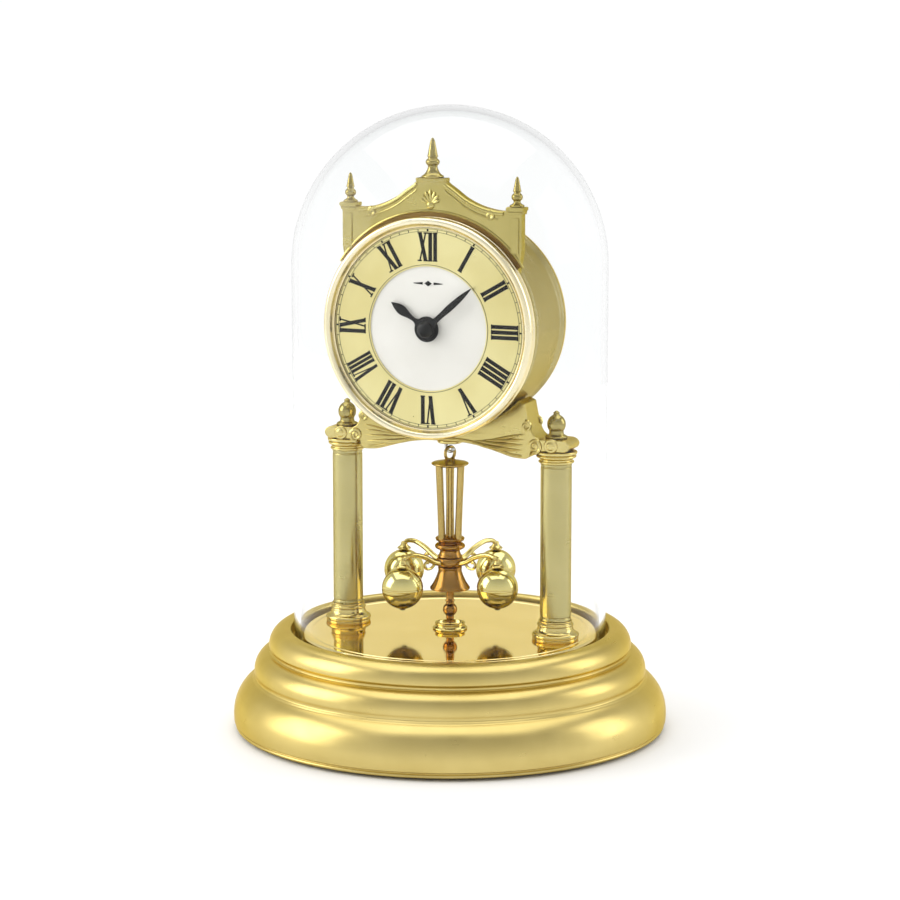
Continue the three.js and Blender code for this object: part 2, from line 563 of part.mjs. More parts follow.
// The battery door hangs from its top edge and lifts outwards; a lip at the bottom takes a finger.
function batteryDoor() {
  const { halfWidth, lipHalf, front, back, bottom, top, knuckle, knuckleRadius } = DOOR;
  const leaf = box(-halfWidth, halfWidth, front, back, bottom, top);
  const lip = box(-lipHalf, lipHalf, back - 0.1, back + 1.4, bottom + 0.6, bottom + 1.8);
  const arm = box(-knuckle, knuckle, back - 0.2, DOOR.pinY, top - 1.4, top + 0.2);
  return cut(joined(leaf, lip, arm, hingeRod(knuckleRadius, -knuckle, knuckle, 10)), pinHole());
}
add("battery_door", batteryDoor(), FINISH.satinBrass, 0, DRUM.z);
const hingePin = hingeRod(DOOR.pin, -hingeEnd, hingeEnd, 8);
add("battery_door_pin", hingePin, FINISH.steel, 0, DRUM.z);

// ---------------------------------------------------------------- pendulum
// What make() returns for the four directions at right angles, each given as [cosine, sine].
function quarters(make) {
  return range(4).map((i) => make([Math.cos(degrees(90 * i)), Math.sin(degrees(90 * i))], i));
}

// The drive shaft comes down through the bush and ends in a hook for the pendulum's loop.
function driveHook() {
  const bend = [
    [0, 0, 107.4], [0, 0.4, 106.4], [0, 1.7, 105.2], [0, 2, 103.8],
    [0, 1.3, 102.8], [0, 0, 102.5], [0, -1.3, 102.9], [0, -1.8, 104],
  ];
  const shaft = rodZ(DRIVE.radius, DRIVE.bottom, DRIVE.top, 10);
  return joined(shaft, wire(bend, PENDULUM.wire, 6, 12));
}
function pendulumCage() {
  const { discZ, collarZ, loop, loopZ, rod, rodTop, rodBottom } = PENDULUM;
  const ring = new THREE.TorusGeometry(loop, PENDULUM.wire, 6, 14).rotateX(Math.PI / 2);
  const discTurning = [
    [0, discZ], [6.7, discZ], [6.9, 98.2], [5.8, 98.8], [2.2, 99.3], [1.6, 99.9], [0, 99.9],
  ];
  const collarTurning = [
    [PENDULUM.bore, 63.1], [4.4, 63.1], [3.6, 65.4], ...arc(3.6, 67.6, 2.2, 1.3, -70, 70, 2),
    [4.5, 69.6], [5.2, collarZ + 0.2], [0, collarZ + 0.2], [0, 69], [PENDULUM.bore, 69],
  ];
  const rods = quarters(([c, s]) =>
    wire([[rodTop * c, rodTop * s, discZ + 0.3], [rodBottom * c, rodBottom * s, collarZ]], rod, 6, 1),
  );
  return joined(
    ring.translate(0, 0, loopZ), turned(discTurning, 14), turned(collarTurning, 14),
    rodZ(PENDULUM.spine, collarZ, discZ + 0.3, 8), ...rods,
  );
}
const bellTurning = [
  [PENDULUM.bore, 59.8], [4.3, 59.8], [4.7, 57.8], [5.4, 55.2], [7.4, 51.9], [7.4, 51.1],
  [6.4, 51.1], [4.3, 54.2], [PENDULUM.bore, 54.2],
];
function pendulumSpider() {
  const { armRadius, bore: hole } = PENDULUM;
  const hub = turned([[hole, 59.9], [5, 59.9], [5.4, 61.4], [5, 63], [hole, 63]], 16);
  const capTurning = [[0, 62.8], [2.3, 62.8], [1.6, 64.4], [0, 65.2]];
  const caps = quarters(([c, s]) => turned(capTurning, 8).translate(armRadius * c, armRadius * s, 0));
  const along = [[4.4, 61.4], [8.5, 62.6], [14, 65.2], [19.4, 66.6], [23, 66], [armRadius, 64.2]];
  const arms = quarters(([c, s]) => wire(along.map(([r, z]) => [r * c, r * s, z]), PENDULUM.arm, 6, 7));
  return joined(hub, ...caps, ...arms);
}
const spindleTurning = [
  [0, PENDULUM.tip], [1, 39.2], [1.5, 40.2], ...arc(0, 43.4, 2.6, 2.6, -45, 50, 2), [1.5, 47],
  [1.5, 50], [2.4, 51.2], [3.2, 52.6], [3.2, 54], [1.2, 54.1], [1.2, 68.4], [0, 68.4],
];
const pendulumPieces = new THREE.Group();
pendulumPieces.rotation.z = degrees(PENDULUM.restTurn);
clock.add(pendulumPieces);
function addTurned(name, geometry, material) {
  pendulumPieces.add(add(name, geometry, material));
}
addTurned("drive_hook", driveHook(), FINISH.steel);
addTurned("pendulum_cage", pendulumCage(), FINISH.brass);
addTurned("pendulum_bell", turned(bellTurning, 16), FINISH.deepBrass);
addTurned("pendulum_spider", pendulumSpider(), FINISH.deepBrass);
addTurned("pendulum_spindle", turned(spindleTurning, 12), FINISH.deepBrass);
quarters(([c, s], i) => {
  const ball = new THREE.SphereGeometry(PENDULUM.ball, 14, 9).rotateX(Math.PI / 2);
  ball.translate(PENDULUM.armRadius * c, PENDULUM.armRadius * s, PENDULUM.ballZ);
  addTurned(`pendulum_ball_${i + 1}`, ball, FINISH.brass);
});

// ---------------------------------------------------------------- dome
function dome() {
  const inner = DOME.radius - DOME.wall;
  const centre = DOME.top - DOME.radius;
  const profile = [
    ...arc(0, centre, inner, inner, 90, 0, 6), [inner, DOME.bottom], [DOME.radius, DOME.bottom],
    ...arc(0, centre, DOME.radius, DOME.radius, 0, 90, 6),
  ];
  profile[0][0] = 0;
  profile.at(-1)[0] = 0;
  return turned(profile, ROUND);
}
add("glass_dome", dome(), FINISH.glass);

export default clock;
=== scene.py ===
"""The looks of an anniversary clock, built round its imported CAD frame.

Lengths here are millimetres; piece() turns them into metres. Each piece is made in its own frame, with its
axis along local Z, and then stands upright, faces the front (local Z towards -Y) or lies along X.
"""

import json
import math

import bmesh
import bpy
from mathutils import Matrix, Vector


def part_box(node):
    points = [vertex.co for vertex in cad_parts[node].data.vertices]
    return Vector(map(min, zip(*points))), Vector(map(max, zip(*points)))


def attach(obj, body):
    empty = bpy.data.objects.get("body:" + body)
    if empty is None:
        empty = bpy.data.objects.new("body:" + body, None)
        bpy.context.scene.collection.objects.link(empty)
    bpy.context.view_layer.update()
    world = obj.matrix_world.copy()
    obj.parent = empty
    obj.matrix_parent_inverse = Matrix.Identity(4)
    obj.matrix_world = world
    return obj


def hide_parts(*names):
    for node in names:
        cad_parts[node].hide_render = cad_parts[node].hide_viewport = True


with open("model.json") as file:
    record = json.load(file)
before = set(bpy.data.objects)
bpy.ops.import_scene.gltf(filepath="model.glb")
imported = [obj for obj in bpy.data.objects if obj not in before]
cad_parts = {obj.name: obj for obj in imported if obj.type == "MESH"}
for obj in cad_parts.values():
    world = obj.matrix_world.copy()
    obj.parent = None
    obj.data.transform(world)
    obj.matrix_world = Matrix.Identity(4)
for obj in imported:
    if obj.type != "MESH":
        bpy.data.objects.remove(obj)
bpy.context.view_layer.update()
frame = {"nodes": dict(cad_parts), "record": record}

MM = 0.001


def rotation(angle, axis):
    return Matrix.Rotation(math.radians(angle), 4, axis)


UPRIGHT, FACING, SIDEWAYS = Matrix.Identity(4), rotation(90, "X"), rotation(90, "Y")

record = frame["record"]
body_of = {n: body for body, nodes in record["behaviour"]["bodies"].items() for n in nodes}


def extent(node):
    """A CAD node's box in millimetres: (x0, x1), (y0, y1), (z0, z1)."""
    low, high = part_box(node)
    return [(a / MM, b / MM) for a, b in zip(low, high)]


def middle(node):
    """The middle of a CAD node's box, in millimetres."""
    return [(a + b) / 2 for a, b in extent(node)]


def reach(node):
    """How far a CAD node goes towards +X, which is its radius where it stands on the clock's axis."""
    return extent(node)[0][1]


def underside(node):
    return extent(node)[2][0]


def half_height(node):
    low, high = extent(node)[2]
    return (high - low) / 2


# ---------- outlines


def bearing(x, y):
    """The angle of a point, in degrees from +X."""
    return math.degrees(math.atan2(y, x))


def polar(radius, angle):
    """A point at an angle in degrees."""
    t = math.radians(angle)
    return radius * math.cos(t), radius * math.sin(t)


def arc(r, z, radius_r, radius_z, start, end, steps=10):
    """Points on an ellipse about (r, z), from one angle to another in degrees."""
    angles = [math.radians(start + (end - start) * i / steps) for i in range(steps + 1)]
    return [(r + radius_r * math.cos(t), z + radius_z * math.sin(t)) for t in angles]


def bow(radius, start, end, steps, z=0):
    """A round arc about the axis, at a height."""
    return arc(0, z, radius, radius, start, end, steps)


def circle(radius, x=0, y=0, steps=96):
    return arc(x, y, radius, radius, 0, 360 * (1 - 1 / steps), steps - 1)


def soften(points, radius, steps=3, closed=True):
    """The same outline with each corner rounded, by at most 45% of the shorter side next to it."""
    result = []
    count = len(points)
    for i, corner in enumerate(points):
        if not closed and i in (0, count - 1):
            result.append(corner)
            continue
        here, before, after = Vector(corner), Vector(points[i - 1]), Vector(points[(i + 1) % count])
        into, out = before - here, after - here
        cut = min(radius, 0.45 * into.length, 0.45 * out.length)
        if cut < 1e-4:
            result.append(corner)
            continue
        a, b = here + into.normalized() * cut, here + out.normalized() * cut
        for k in range(steps + 1):
            t = k / steps
            point = a * (1 - t) ** 2 + here * 2 * t * (1 - t) + b * t**2
            result.append(tuple(point))
    return result


def flowing(points, steps):
    """A smooth Catmull-Rom curve through the points, in two or three dimensions."""
    knots = [Vector(p) for p in points]
    last = len(knots) - 1
    result = []
    for i in range(last):
        p = [knots[min(max(i + k, 0), last)] for k in (-1, 0, 1, 2)]
        slope = p[2] - p[0]
        bend = 2 * p[0] - 5 * p[1] + 4 * p[2] - p[3]
        twist = 3 * p[1] - p[0] - 3 * p[2] + p[3]
        for k in range(steps):
            t = k / steps
            result.append(tuple(0.5 * (2 * p[1] + slope * t + bend * t**2 + twist * t**3)))
    result.append(tuple(knots[-1]))
    return result


def raised(points, height):
    """An outline drawn from its own underside, at its place on the clock."""
    return [(r, z + height) for r, z in points]


def mirrored(points):
    """An outline from its right half, which runs from the bottom to the top."""
    return list(points) + [(-x, y) for x, y in reversed(points) if abs(x) > 1e-6]


def rounded_box(x0, x1, y0, y1, radius):
    return soften([(x0, y0), (x1, y0), (x1, y1), (x0, y1)], radius, 5)


# ---------- solids


def linked(name, data):
    """A new object, in the scene."""
    made = bpy.data.objects.new(name, data)
    bpy.context.scene.collection.objects.link(made)
    return made


def lathe(profile, segments=96):
    """A profile of (radius, height) turned about Z. It ends on the axis or closes on itself."""
    bm = bmesh.new()
    rings = []
    for r, z in profile:
        count = 1 if r < 1e-6 else segments
        rings.append([bm.verts.new((*polar(r, 360 * k / count), z)) for k in range(count)])
    open_ended = len(rings[0]) == 1 and len(rings[-1]) == 1
    pairs = list(zip(rings, rings[1:])) + ([] if open_ended else [(rings[-1], rings[0])])
    for a, b in pairs:
        for k in range(segments):
            n = (k + 1) % segments
            corners = [a[k % len(a)], a[n % len(a)], b[n % len(b)], b[k % len(b)]]
            unique = [v for i, v in enumerate(corners) if v not in corners[:i]]
            if len(unique) > 2:
                bm.faces.new(unique)
    return mesh_from(bm)


def turned(profile, softness, segments):
    """The profile with its corners eased, turned about Z."""
    closed = profile[0][0] > 0 or profile[-1][0] > 0
    return lathe(soften(profile, softness, 2, closed), segments)


def draw(curve, places, closed):
    """A new line of a curve through the places; returns its points."""
    spline = curve.splines.new("POLY")
    spline.points.add(len(places) - 1)
    for point, place in zip(spline.points, places):
        point.co = (*place, 1)
    spline.use_cyclic_u = closed
    return spline.points


def flat(outlines, back, front, bevel=0.2):
    """A sheet with rounded edges between two heights; the outlines after the first are its holes."""
    curve = bpy.data.curves.new("outline", "CURVE")
    curve.dimensions = "2D"
    curve.fill_mode = "BOTH"
    curve.extrude = (front - back) / 2 - bevel
    curve.bevel_depth = bevel
    curve.bevel_resolution = 2
    curve.offset = -bevel
    for outline in outlines:
        draw(curve, [(x, y, 0) for x, y in outline], True)
    return mesh_of_curve(curve, Matrix.Translation((0, 0, (front + back) / 2)))


def tube(points, radius, sides=12, closed=False):
    """A round rod along the points; radius is one number, or one for each point."""
    curve = bpy.data.curves.new("route", "CURVE")
    curve.dimensions = "3D"
    curve.bevel_depth = 1
    curve.bevel_resolution = max(0, sides // 4 - 1)
    curve.use_fill_caps = True
    radii = radius if isinstance(radius, list) else [radius] * len(points)
    for point, thick in zip(draw(curve, points, closed), radii):
        point.radius = thick
    return mesh_of_curve(curve, UPRIGHT)


def mesh_of_curve(curve, matrix):
    holder = linked("holder", curve)
    graph = bpy.context.evaluated_depsgraph_get()
    bm = bmesh.new()
    bm.from_mesh(holder.evaluated_get(graph).to_mesh())
    bpy.data.objects.remove(holder)
    bpy.data.curves.remove(curve)
    bmesh.ops.remove_doubles(bm, verts=bm.verts, dist=1e-4)
    bm.transform(matrix)
    return mesh_from(bm)


def mesh_from(bm):
    bmesh.ops.recalc_face_normals(bm, faces=bm.faces)
    mesh = bpy.data.meshes.new("part")
    bm.to_mesh(mesh)
    bm.free()
    return mesh


def shifted(mesh, x=0, y=0, z=0, turn=0):
    """The mesh turned about Z by an angle in degrees, then moved."""
    mesh.transform(Matrix.Translation((x, y, z)) @ rotation(turn, "Z"))
    return mesh


def bored(mesh, radius, low, high):
    """The mesh with a round hole through it along its Y axis, from one Y to another."""
    drill = lathe([(0, low), (radius, low), (radius, high), (0, high)], 48)
    drill.transform(rotation(-90, "X"))
    body, cutter = linked("holder", mesh), linked("holder", drill)
    cut = body.modifiers.new("bore", "BOOLEAN")
    cut.operation = "DIFFERENCE"
    cut.object = cutter
    graph = bpy.context.evaluated_depsgraph_get()
    made = bpy.data.meshes.new_from_object(body.evaluated_get(graph))
    for data in (mesh, drill):
        bpy.data.meshes.remove(data)
    return made


def ball(radius, x, y, z, segments=48):
    points = [(0, z - radius), *bow(radius, -86, 86, 28, z), (0, z + radius)]
    return shifted(lathe(points, segments), x, y)


SHARP_ANGLE = math.radians(38)


def piece(name, parts, material, node, at=(0, 0, 0), stance=UPRIGHT, stands=True):
    """One object made of the parts. It stands for the CAD node, or is trim that rides with it."""
    bm = bmesh.new()
    for part in parts:
        bm.from_mesh(part)
        bpy.data.meshes.remove(part)
    bm.transform(Matrix.Scale(MM, 4))
    for face in bm.faces:
        face.smooth = True
    for edge in bm.edges:
        edge.smooth = not edge.is_manifold or edge.calc_face_angle(0) < SHARP_ANGLE
    mesh = bpy.data.meshes.new(name)
    bm.to_mesh(mesh)
    bm.free()
    mesh.materials.append(material)
    made = linked(name, mesh)
    made.matrix_world = Matrix.Translation(Vector(at) * MM) @ stance
    made.modifiers.new("level_shading", "WEIGHTED_NORMAL").keep_sharp = True
    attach(made, body_of[node])
    if stands:
        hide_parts(node)


# ---------- materials


def fill_ramp(ramp, stops):
    elements = ramp.color_ramp.elements
    while len(elements) < len(stops):
        elements.new(0.5)
    for element, (position, colour) in zip(elements, stops):
        element.position = position
        element.color = (*colour, 1)


class Recipe:
    """A node material under construction: a Principled shader and short ways to feed it."""

    def __init__(self, name, **fixed):
        self.material = bpy.data.materials.new(name)
        self.material.use_nodes = True
        self.tree = self.material.node_tree
        self.shader = self.tree.nodes["Principled BSDF"]
        for socket, value in fixed.items():
            self.shader.inputs[socket.replace("_", " ").title().replace("Ior", "IOR")].default_value = value

    def node(self, kind, inputs=None, **settings):
        made = self.tree.nodes.new("ShaderNode" + kind)
        for key, value in settings.items():
            setattr(made, key, value)
        for socket, value in (inputs or {}).items():
            if isinstance(value, bpy.types.NodeSocket):
                self.tree.links.new(value, made.inputs[socket])
            else:
                made.inputs[socket].default_value = value
        return made

    def feed(self, socket, source):
        self.tree.links.new(source, self.shader.inputs[socket])

    def place(self):
        return self.node("TexCoord").outputs["Object"]

    def noise(self, scale, detail=2.0, vector=None):
        inputs = {"Scale": scale, "Detail": detail, "Vector": vector or self.place()}
        return self.node("TexNoise", inputs).outputs["Fac"]

    def stretched(self, x, y, z):
        """Object coordinates with each axis scaled, so that noise becomes a grain."""
        return self.node("Mapping", {"Vector": self.place(), "Scale": (x, y, z)}).outputs["Vector"]

    def round_the_axis(self):
        """Coordinates that hold only the distance from the axis and the height, for lathe marks."""
        split = self.node("SeparateXYZ", {0: self.place()}).outputs
        x_squared = self.node("Math", {0: split["X"], 1: split["X"]}, operation="MULTIPLY").outputs[0]
        sums = {0: split["Y"], 1: split["Y"], 2: x_squared}
        squares = self.node("Math", sums, operation="MULTIPLY_ADD").outputs[0]
        radius = self.node("Math", {0: squares}, operation="SQRT").outputs[0]
        return self.node("CombineXYZ", {"X": radius, "Z": split["Z"]}).outputs[0]

    def between(self, factor, low, high, start=0.3, end=0.7):
        """A number that goes from low to high as the factor goes from start to end."""
        inputs = {"Value": factor, "From Min": start, "From Max": end, "To Min": low, "To Max": high}
        return self.node("MapRange", inputs).outputs[0]

    def colours(self, factor, *stops):
        """A colour ramp of (position, colour) stops."""
        ramp = self.node("ValToRGB", {"Fac": factor})
        fill_ramp(ramp, stops)
        return ramp.outputs["Color"]

    def tint(self, factor, deep, light):
        self.feed("Base Color", self.colours(factor, (0.3, deep), (0.7, light)))

    def gloss(self, scale, detail, low, high):
        """An uneven roughness between two limits."""
        self.feed("Roughness", self.between(self.noise(scale, detail), low, high))

    def bump(self, height, strength, distance=0.00002):
        """Feeds the normal with a relief, its depth in metres."""
        inputs = {"Height": height, "Strength": strength, "Distance": distance}
        self.feed("Normal", self.node("Bump", inputs).outputs["Normal"])


FACE_TINT, EDGE_TINT = (0.90, 0.76, 0.38), (0.66, 0.54, 0.26)  # how dark brass gets at a grazing view
LATHE_MARKS = 1300  # turned marks for each metre


def brass(name, light, deep, roughness, marks=0.1, grain="turned", smudges=0.05, tint=EDGE_TINT):
    """Lacquered brass: two close tints, lathe or brush marks, and faint smudges in its gloss."""
    r = Recipe(name, metallic=1.0, specular_tint=(*tint, 1))
    cloud = r.noise(38, 4)
    r.feed("Base Color", r.colours(cloud, (0.32, deep), (0.68, light)))
    soft = r.noise(120, 3)
    if grain == "turned":
        lines = r.noise(LATHE_MARKS, 1, r.round_the_axis())
    else:
        lines = r.noise(1, 2, r.stretched(70, 1800, 1800))
    level = r.between(soft, roughness - smudges, roughness + smudges)
    level = r.node("Math", {0: lines, 1: 0.06, 2: level}, operation="MULTIPLY_ADD").outputs[0]
    r.feed("Roughness", level)
    r.bump(lines, marks)
    return r.material


GOLD = (0.62, 0.50, 0.18)
satin_brass = brass("satin_brass", (0.65, 0.52, 0.195), (0.57, 0.445, 0.15), 0.28, 0.03,
                    smudges=0.03, tint=FACE_TINT)
shaft_brass = brass("shaft_brass", (0.50, 0.435, 0.19), (0.42, 0.36, 0.14), 0.2)
drum_brass = brass("drum_brass", (0.51, 0.455, 0.26), (0.44, 0.385, 0.20), 0.2)
bright_brass = brass("bright_brass", (0.71, 0.60, 0.24), GOLD, 0.13)
crest_brass = brass("crest_brass", (0.53, 0.455, 0.17), (0.44, 0.365, 0.12), 0.2, grain="brushed")
cast_brass = brass("cast_brass", (0.66, 0.55, 0.215), (0.55, 0.45, 0.155), 0.2, grain="brushed")
mirror_brass = brass("mirror_brass", (0.95, 0.81, 0.43), (0.90, 0.75, 0.37), 0.045, 0.04,
                     smudges=0.02, tint=(1.0, 0.85, 0.48))
# paler brass for the bezel: a painted highlight along its bead
highlight_pale_brass = brass("highlight_pale_brass", (0.91, 0.83, 0.60), (0.84, 0.74, 0.48), 0.2, tint=FACE_TINT)
# darker brass that paints the shade seen on the ball nuts and finials
painted_shade_brass = brass("painted_shade_brass", (0.44, 0.37, 0.14), (0.30, 0.24, 0.08), 0.17)
cage_brass = brass("cage_brass", (0.52, 0.38, 0.12), (0.36, 0.24, 0.07), 0.17)
deep_brass = brass("deep_brass", (0.43, 0.235, 0.055), (0.27, 0.135, 0.03), 0.15)
# near-black brass for the sheet that paints the bezel's shadow on the crest
painted_shadow_brass = brass("painted_shadow_brass", (0.24, 0.15, 0.05), (0.15, 0.09, 0.03), 0.3)
ring_brass = brass("ring_brass", (0.80, 0.72, 0.36), (0.70, 0.61, 0.27), 0.3, 0.3)


def ball_finish_with_painted_shade():
    """Polished brass with light and shade painted into its colour: nearly black underneath, lighter on top.
    """
    r = Recipe("ball_brass_painted_shade", metallic=1.0, specular_tint=(*EDGE_TINT, 1))
    height = r.node("SeparateXYZ", {0: r.place()}).outputs["Z"]
    share = r.between(height, 0, 1, -0.006, 0.003)
    # The stops paint shade on the underside and a highlight on the top.
    stops = (0.0, (0.09, 0.065, 0.02)), (0.6, GOLD), (1.0, (0.78, 0.69, 0.28))
    r.feed("Base Color", r.colours(share, *stops))
    r.gloss(160, 6, 0.08, 0.18)
    r.bump(r.noise(LATHE_MARKS, 1, r.round_the_axis()), 0.1)
    return r.material


def coated(name, deep, light, gloss, grain, strength, shine=0.5):
    """Paint or moulding: two close tints, a roughness between two limits, and a fine grain in its face."""
    r = Recipe(name, specular_ior_level=shine)
    r.tint(r.noise(60, 4), deep, light)
    r.gloss(300, 4, *gloss)
    r.bump(r.noise(grain, 3), strength)
    return r.material


def clear_glass():
    """Clear glass that lets lamps through to what stands inside it."""
    r = Recipe("clear_glass", transmission_weight=1.0, ior=1.18)
    r.tint(r.noise(12, 2), (0.975, 0.985, 0.985), (0.99, 0.995, 0.995))
    r.gloss(20, 1, 0.0, 0.003)
    clear = r.node("BsdfTransparent")
    shadow = r.node("LightPath").outputs["Is Shadow Ray"]
    mix = r.node("MixShader", {0: shadow, 1: r.shader.outputs[0], 2: clear.outputs[0]})
    out = r.tree.nodes["Material Output"]
    r.tree.links.new(mix.outputs[0], out.inputs["Surface"])
    return r.material


def plated_steel():
    r = Recipe("plated_steel", metallic=1.0)
    r.tint(r.noise(200, 4), (0.50, 0.50, 0.49), (0.66, 0.66, 0.64))
    r.gloss(700, 4, 0.24, 0.42)
    r.bump(r.noise(1800, 3, r.round_the_axis()), 0.2)
    return r.material


def circuit_lacquer():
    """Green solder mask over faint copper tracks."""
    r = Recipe("circuit_lacquer", coat_weight=0.4)
    tracks = r.node("TexBrick", {"Scale": 260.0, "Mortar Size": 0.02, "Vector": r.place()})
    mask = r.colours(tracks.outputs["Fac"], (0.0, (0.02, 0.13, 0.05)), (1.0, (0.06, 0.24, 0.09)))
    r.feed("Base Color", mask)
    r.gloss(500, 3, 0.25, 0.4)
    return r.material


def copper_winding():
    """Turns of enamelled wire, as fine ridges along the coil's axis."""
    r = Recipe("copper_winding", metallic=1.0)
    wire = r.node("TexWave", {"Scale": 900.0, "Vector": r.place()}, bands_direction="X").outputs["Fac"]
    r.feed("Base Color", r.colours(wire, (0.2, (0.35, 0.12, 0.04)), (0.8, (0.72, 0.33, 0.14))))
    r.gloss(400, 3, 0.25, 0.4)
    r.bump(wire, 0.6, 0.00008)
    return r.material


def cell_wrap():
    """A plain printed battery sleeve: dark blue-grey with a copper band at the positive end."""
    r = Recipe("cell_wrap", coat_weight=0.6)
    along = r.node("SeparateXYZ", {0: r.place()}).outputs["Z"]
    band = r.between(along, 0, 1, 0.0120, 0.0121)
    r.feed("Base Color", r.colours(band, (0.45, (0.05, 0.07, 0.11)), (0.55, (0.62, 0.34, 0.12))))
    r.gloss(500, 4, 0.2, 0.34)
    r.bump(r.noise(160, 3), 0.1, 0.0001)
    return r.material


ball_brass_painted_shade = ball_finish_with_painted_shade()
dial_cream = coated("dial_paint", (0.72, 0.70, 0.645), (0.77, 0.75, 0.70), (0.42, 0.55), 2400, 0.15, 0.4)
hand_black = coated("black_paint", (0.006, 0.006, 0.006), (0.013, 0.012, 0.01), (0.28, 0.42), 3000, 0.1, 0.25)
glass = clear_glass()
steel = plated_steel()
black_plastic = coated("black_plastic", (0.016, 0.016, 0.018), (0.028, 0.028, 0.03), (0.37, 0.53), 900, 0.9)
rubber = coated("foot_rubber", (0.02, 0.02, 0.02), (0.035, 0.034, 0.033), (0.72, 0.88), 1600, 0.9)
winding = copper_winding()
wrap = cell_wrap()

# ---------- base

PLINTH_R = reach("base_plinth")
RIM_Z = extent("base_plinth")[2][1]
UNDER_Z = underside("base_plinth")
DECK_Z, PLATE_Z = extent("base_top_plate")[2]
PLATE_R = reach("base_top_plate")
GROOVE_R = 58.6
HOLLOW_Z = 30.8
FEET = (1, 2, 3)


def plinth():
    big = arc(PLINTH_R - 12, 5.6, 12, 14.2, 0, 66, 22)
    second = arc(66.0, 21.9, 6.3, 6.8, -6, 84, 16)
    top = arc(60.9, HOLLOW_Z, 6.0, RIM_Z - HOLLOW_Z, 0, 88, 16)
    outer = [
        (77.6, UNDER_Z), (78.9, UNDER_Z), (79.4, 1.5), (79.4, 2.1), (78.9, 2.5), (78.9, 2.8),
        (PLINTH_R - 0.1, 3.2), *big, (72.4, 19.2), (72.0, 19.5), (72.0, 20.4), *second,
        (66.4, 28.9), (66.0, 29.1), (66.0, 30.0), (66.5, 30.3), *top,
    ]
    groove = [(59.2, RIM_Z), (GROOVE_R, RIM_Z - 0.5), (GROOVE_R, DECK_Z), (34, DECK_Z), (34, HOLLOW_Z)]
    inside = [(58, HOLLOW_Z), (64, 25), (70.4, 17), (76.8, 4.4), (76.8, UNDER_Z)]
    profile = soften([*outer, *groove, *inside], 0.3, 2)
    piece("plinth", [lathe(profile, 192)], satin_brass, "base_plinth")


def top_plate():
    r = PLATE_R
    profile = [
        (0, DECK_Z), (r, DECK_Z), (r, PLATE_Z - 0.6), (r - 0.6, PLATE_Z), (r - 2.6, PLATE_Z),
        (r - 2.9, PLATE_Z - 0.25), (r - 3.3, PLATE_Z - 0.25), (r - 3.6, PLATE_Z), (0, PLATE_Z),
    ]
    piece("top_plate", [turned(profile, 0.15, 192)], mirror_brass, "base_top_plate")


def bottom_cover():
    (_, radius), _, (low, high) = extent("base_bottom_cover")
    places = [middle(f"base_foot_{i}") for i in FEET]
    holes = [circle(3, x, y, 32) for x, y, _ in places]
    rings = [
        lathe([(r - 0.9, low), (r - 0.4, low - 0.35), (r + 0.4, low - 0.35), (r + 0.9, low)], 128)
        for r in (24, 48, 73)
    ]
    ribs = [
        shifted(flat([rounded_box(26, 46, -0.6, 0.6, 0.4)], low - 0.3, low + 0.1, 0.1), turn=60 * k + 30)
        for k in range(6)
    ]
    sheet = flat([circle(radius, steps=160), *holes], low, high, 0.25)
    piece("bottom_cover", [sheet, *rings, *ribs], black_plastic, "base_bottom_cover")


def feet():
    profile = [
        (0, 0.4), (3.2, 0.4), (3.7, 0), (5.5, 0), (6, 0.35), (6, 0.95), (5.6, 1.15), (2.6, 1.2), (2.6, 3.3),
        (3.6, 3.6), (2, 5.4), (0, 5.4),
    ]
    for i in FEET:
        x, y, _ = middle(f"base_foot_{i}")
        piece(f"foot_{i}", [turned(profile, 0.2, 48)], rubber, f"base_foot_{i}", (x, y, 0))


def guide_cup():
    outline = [
        (0, 0), (6.2, 0), (6.4, 0.2), (6.4, 0.5), (6.0, 0.9), (5.5, 1.2), (5.3, 1.6), (5.6, 2.1), (5.5, 2.4),
        (5.0, 2.4), (4.7, 2.0), (4.4, 1.1), (3.2, 0.75), (0, 0.6),
    ]
    profile = raised(outline, underside("pendulum_guide_cup"))
    piece("guide_cup", [turned(profile, 0.2, 72)], bright_brass, "pendulum_guide_cup")


plinth()
top_plate()
bottom_cover()
feet()
guide_cup()

# ---------- columns

BOLT_R = 2.25
COLUMN_X = middle("column_shaft_right")[0]
SHAFT_R = reach("column_shaft_right") - COLUMN_X
COLUMN_FOOT = [
    (BOLT_R, 0), (8.3, 0), (8.3, 0.4), *arc(7.5, 1.4, 1.0, 0.95, -60, 75, 8), (7.3, 2.5), (7.0, 2.8),
    (6.6, 3.3), (6.4, 4.0), (6.3, 4.6), *arc(6.05, 5.3, 0.55, 0.5, -80, 80, 6), (5.9, 6.1), (6.1, 6.3),
    (6.1, 6.8), (BOLT_R, 6.8),
]
CAPITAL = [
    (BOLT_R, 0), (6.1, 0), (6.4, 0.25), (6.4, 0.7), (5.9, 1.0), (5.9, 1.35), (6.2, 1.8),
    *arc(6.1, 2.5, 1.1, 0.7, -50, 60, 8), (6.8, 3.3), (7.5, 3.45), (7.5, 4.2), (7.2, 4.4), (BOLT_R, 4.4),
]
BALL_NUT = [
    (0, 4.3), (BOLT_R, 4.3), (BOLT_R, 0), (3.9, 0), (4.0, 0.2), (4.0, 0.6), (3.5, 0.9), (2.7, 1.3),
    *arc(0, 4.9, 3.35, 3.6, -40, 66, 16), (1.2, 8.4), *arc(0.2, 9.0, 1.0, 0.5, -40, 60, 5), (0.5, 9.7),
    (0, 9.9),
]


def shaft_outline(length):
    """A plain shaft with a shallow groove near each end."""
    r = SHAFT_R
    end = [(BOLT_R, 0), (r - 0.1, 0), (r, 0.15), (r, 1.0), (r - 0.2, 1.15), (r - 0.2, 1.45), (r, 1.6)]
    return end + [(g, length - z) for g, z in reversed(end)]


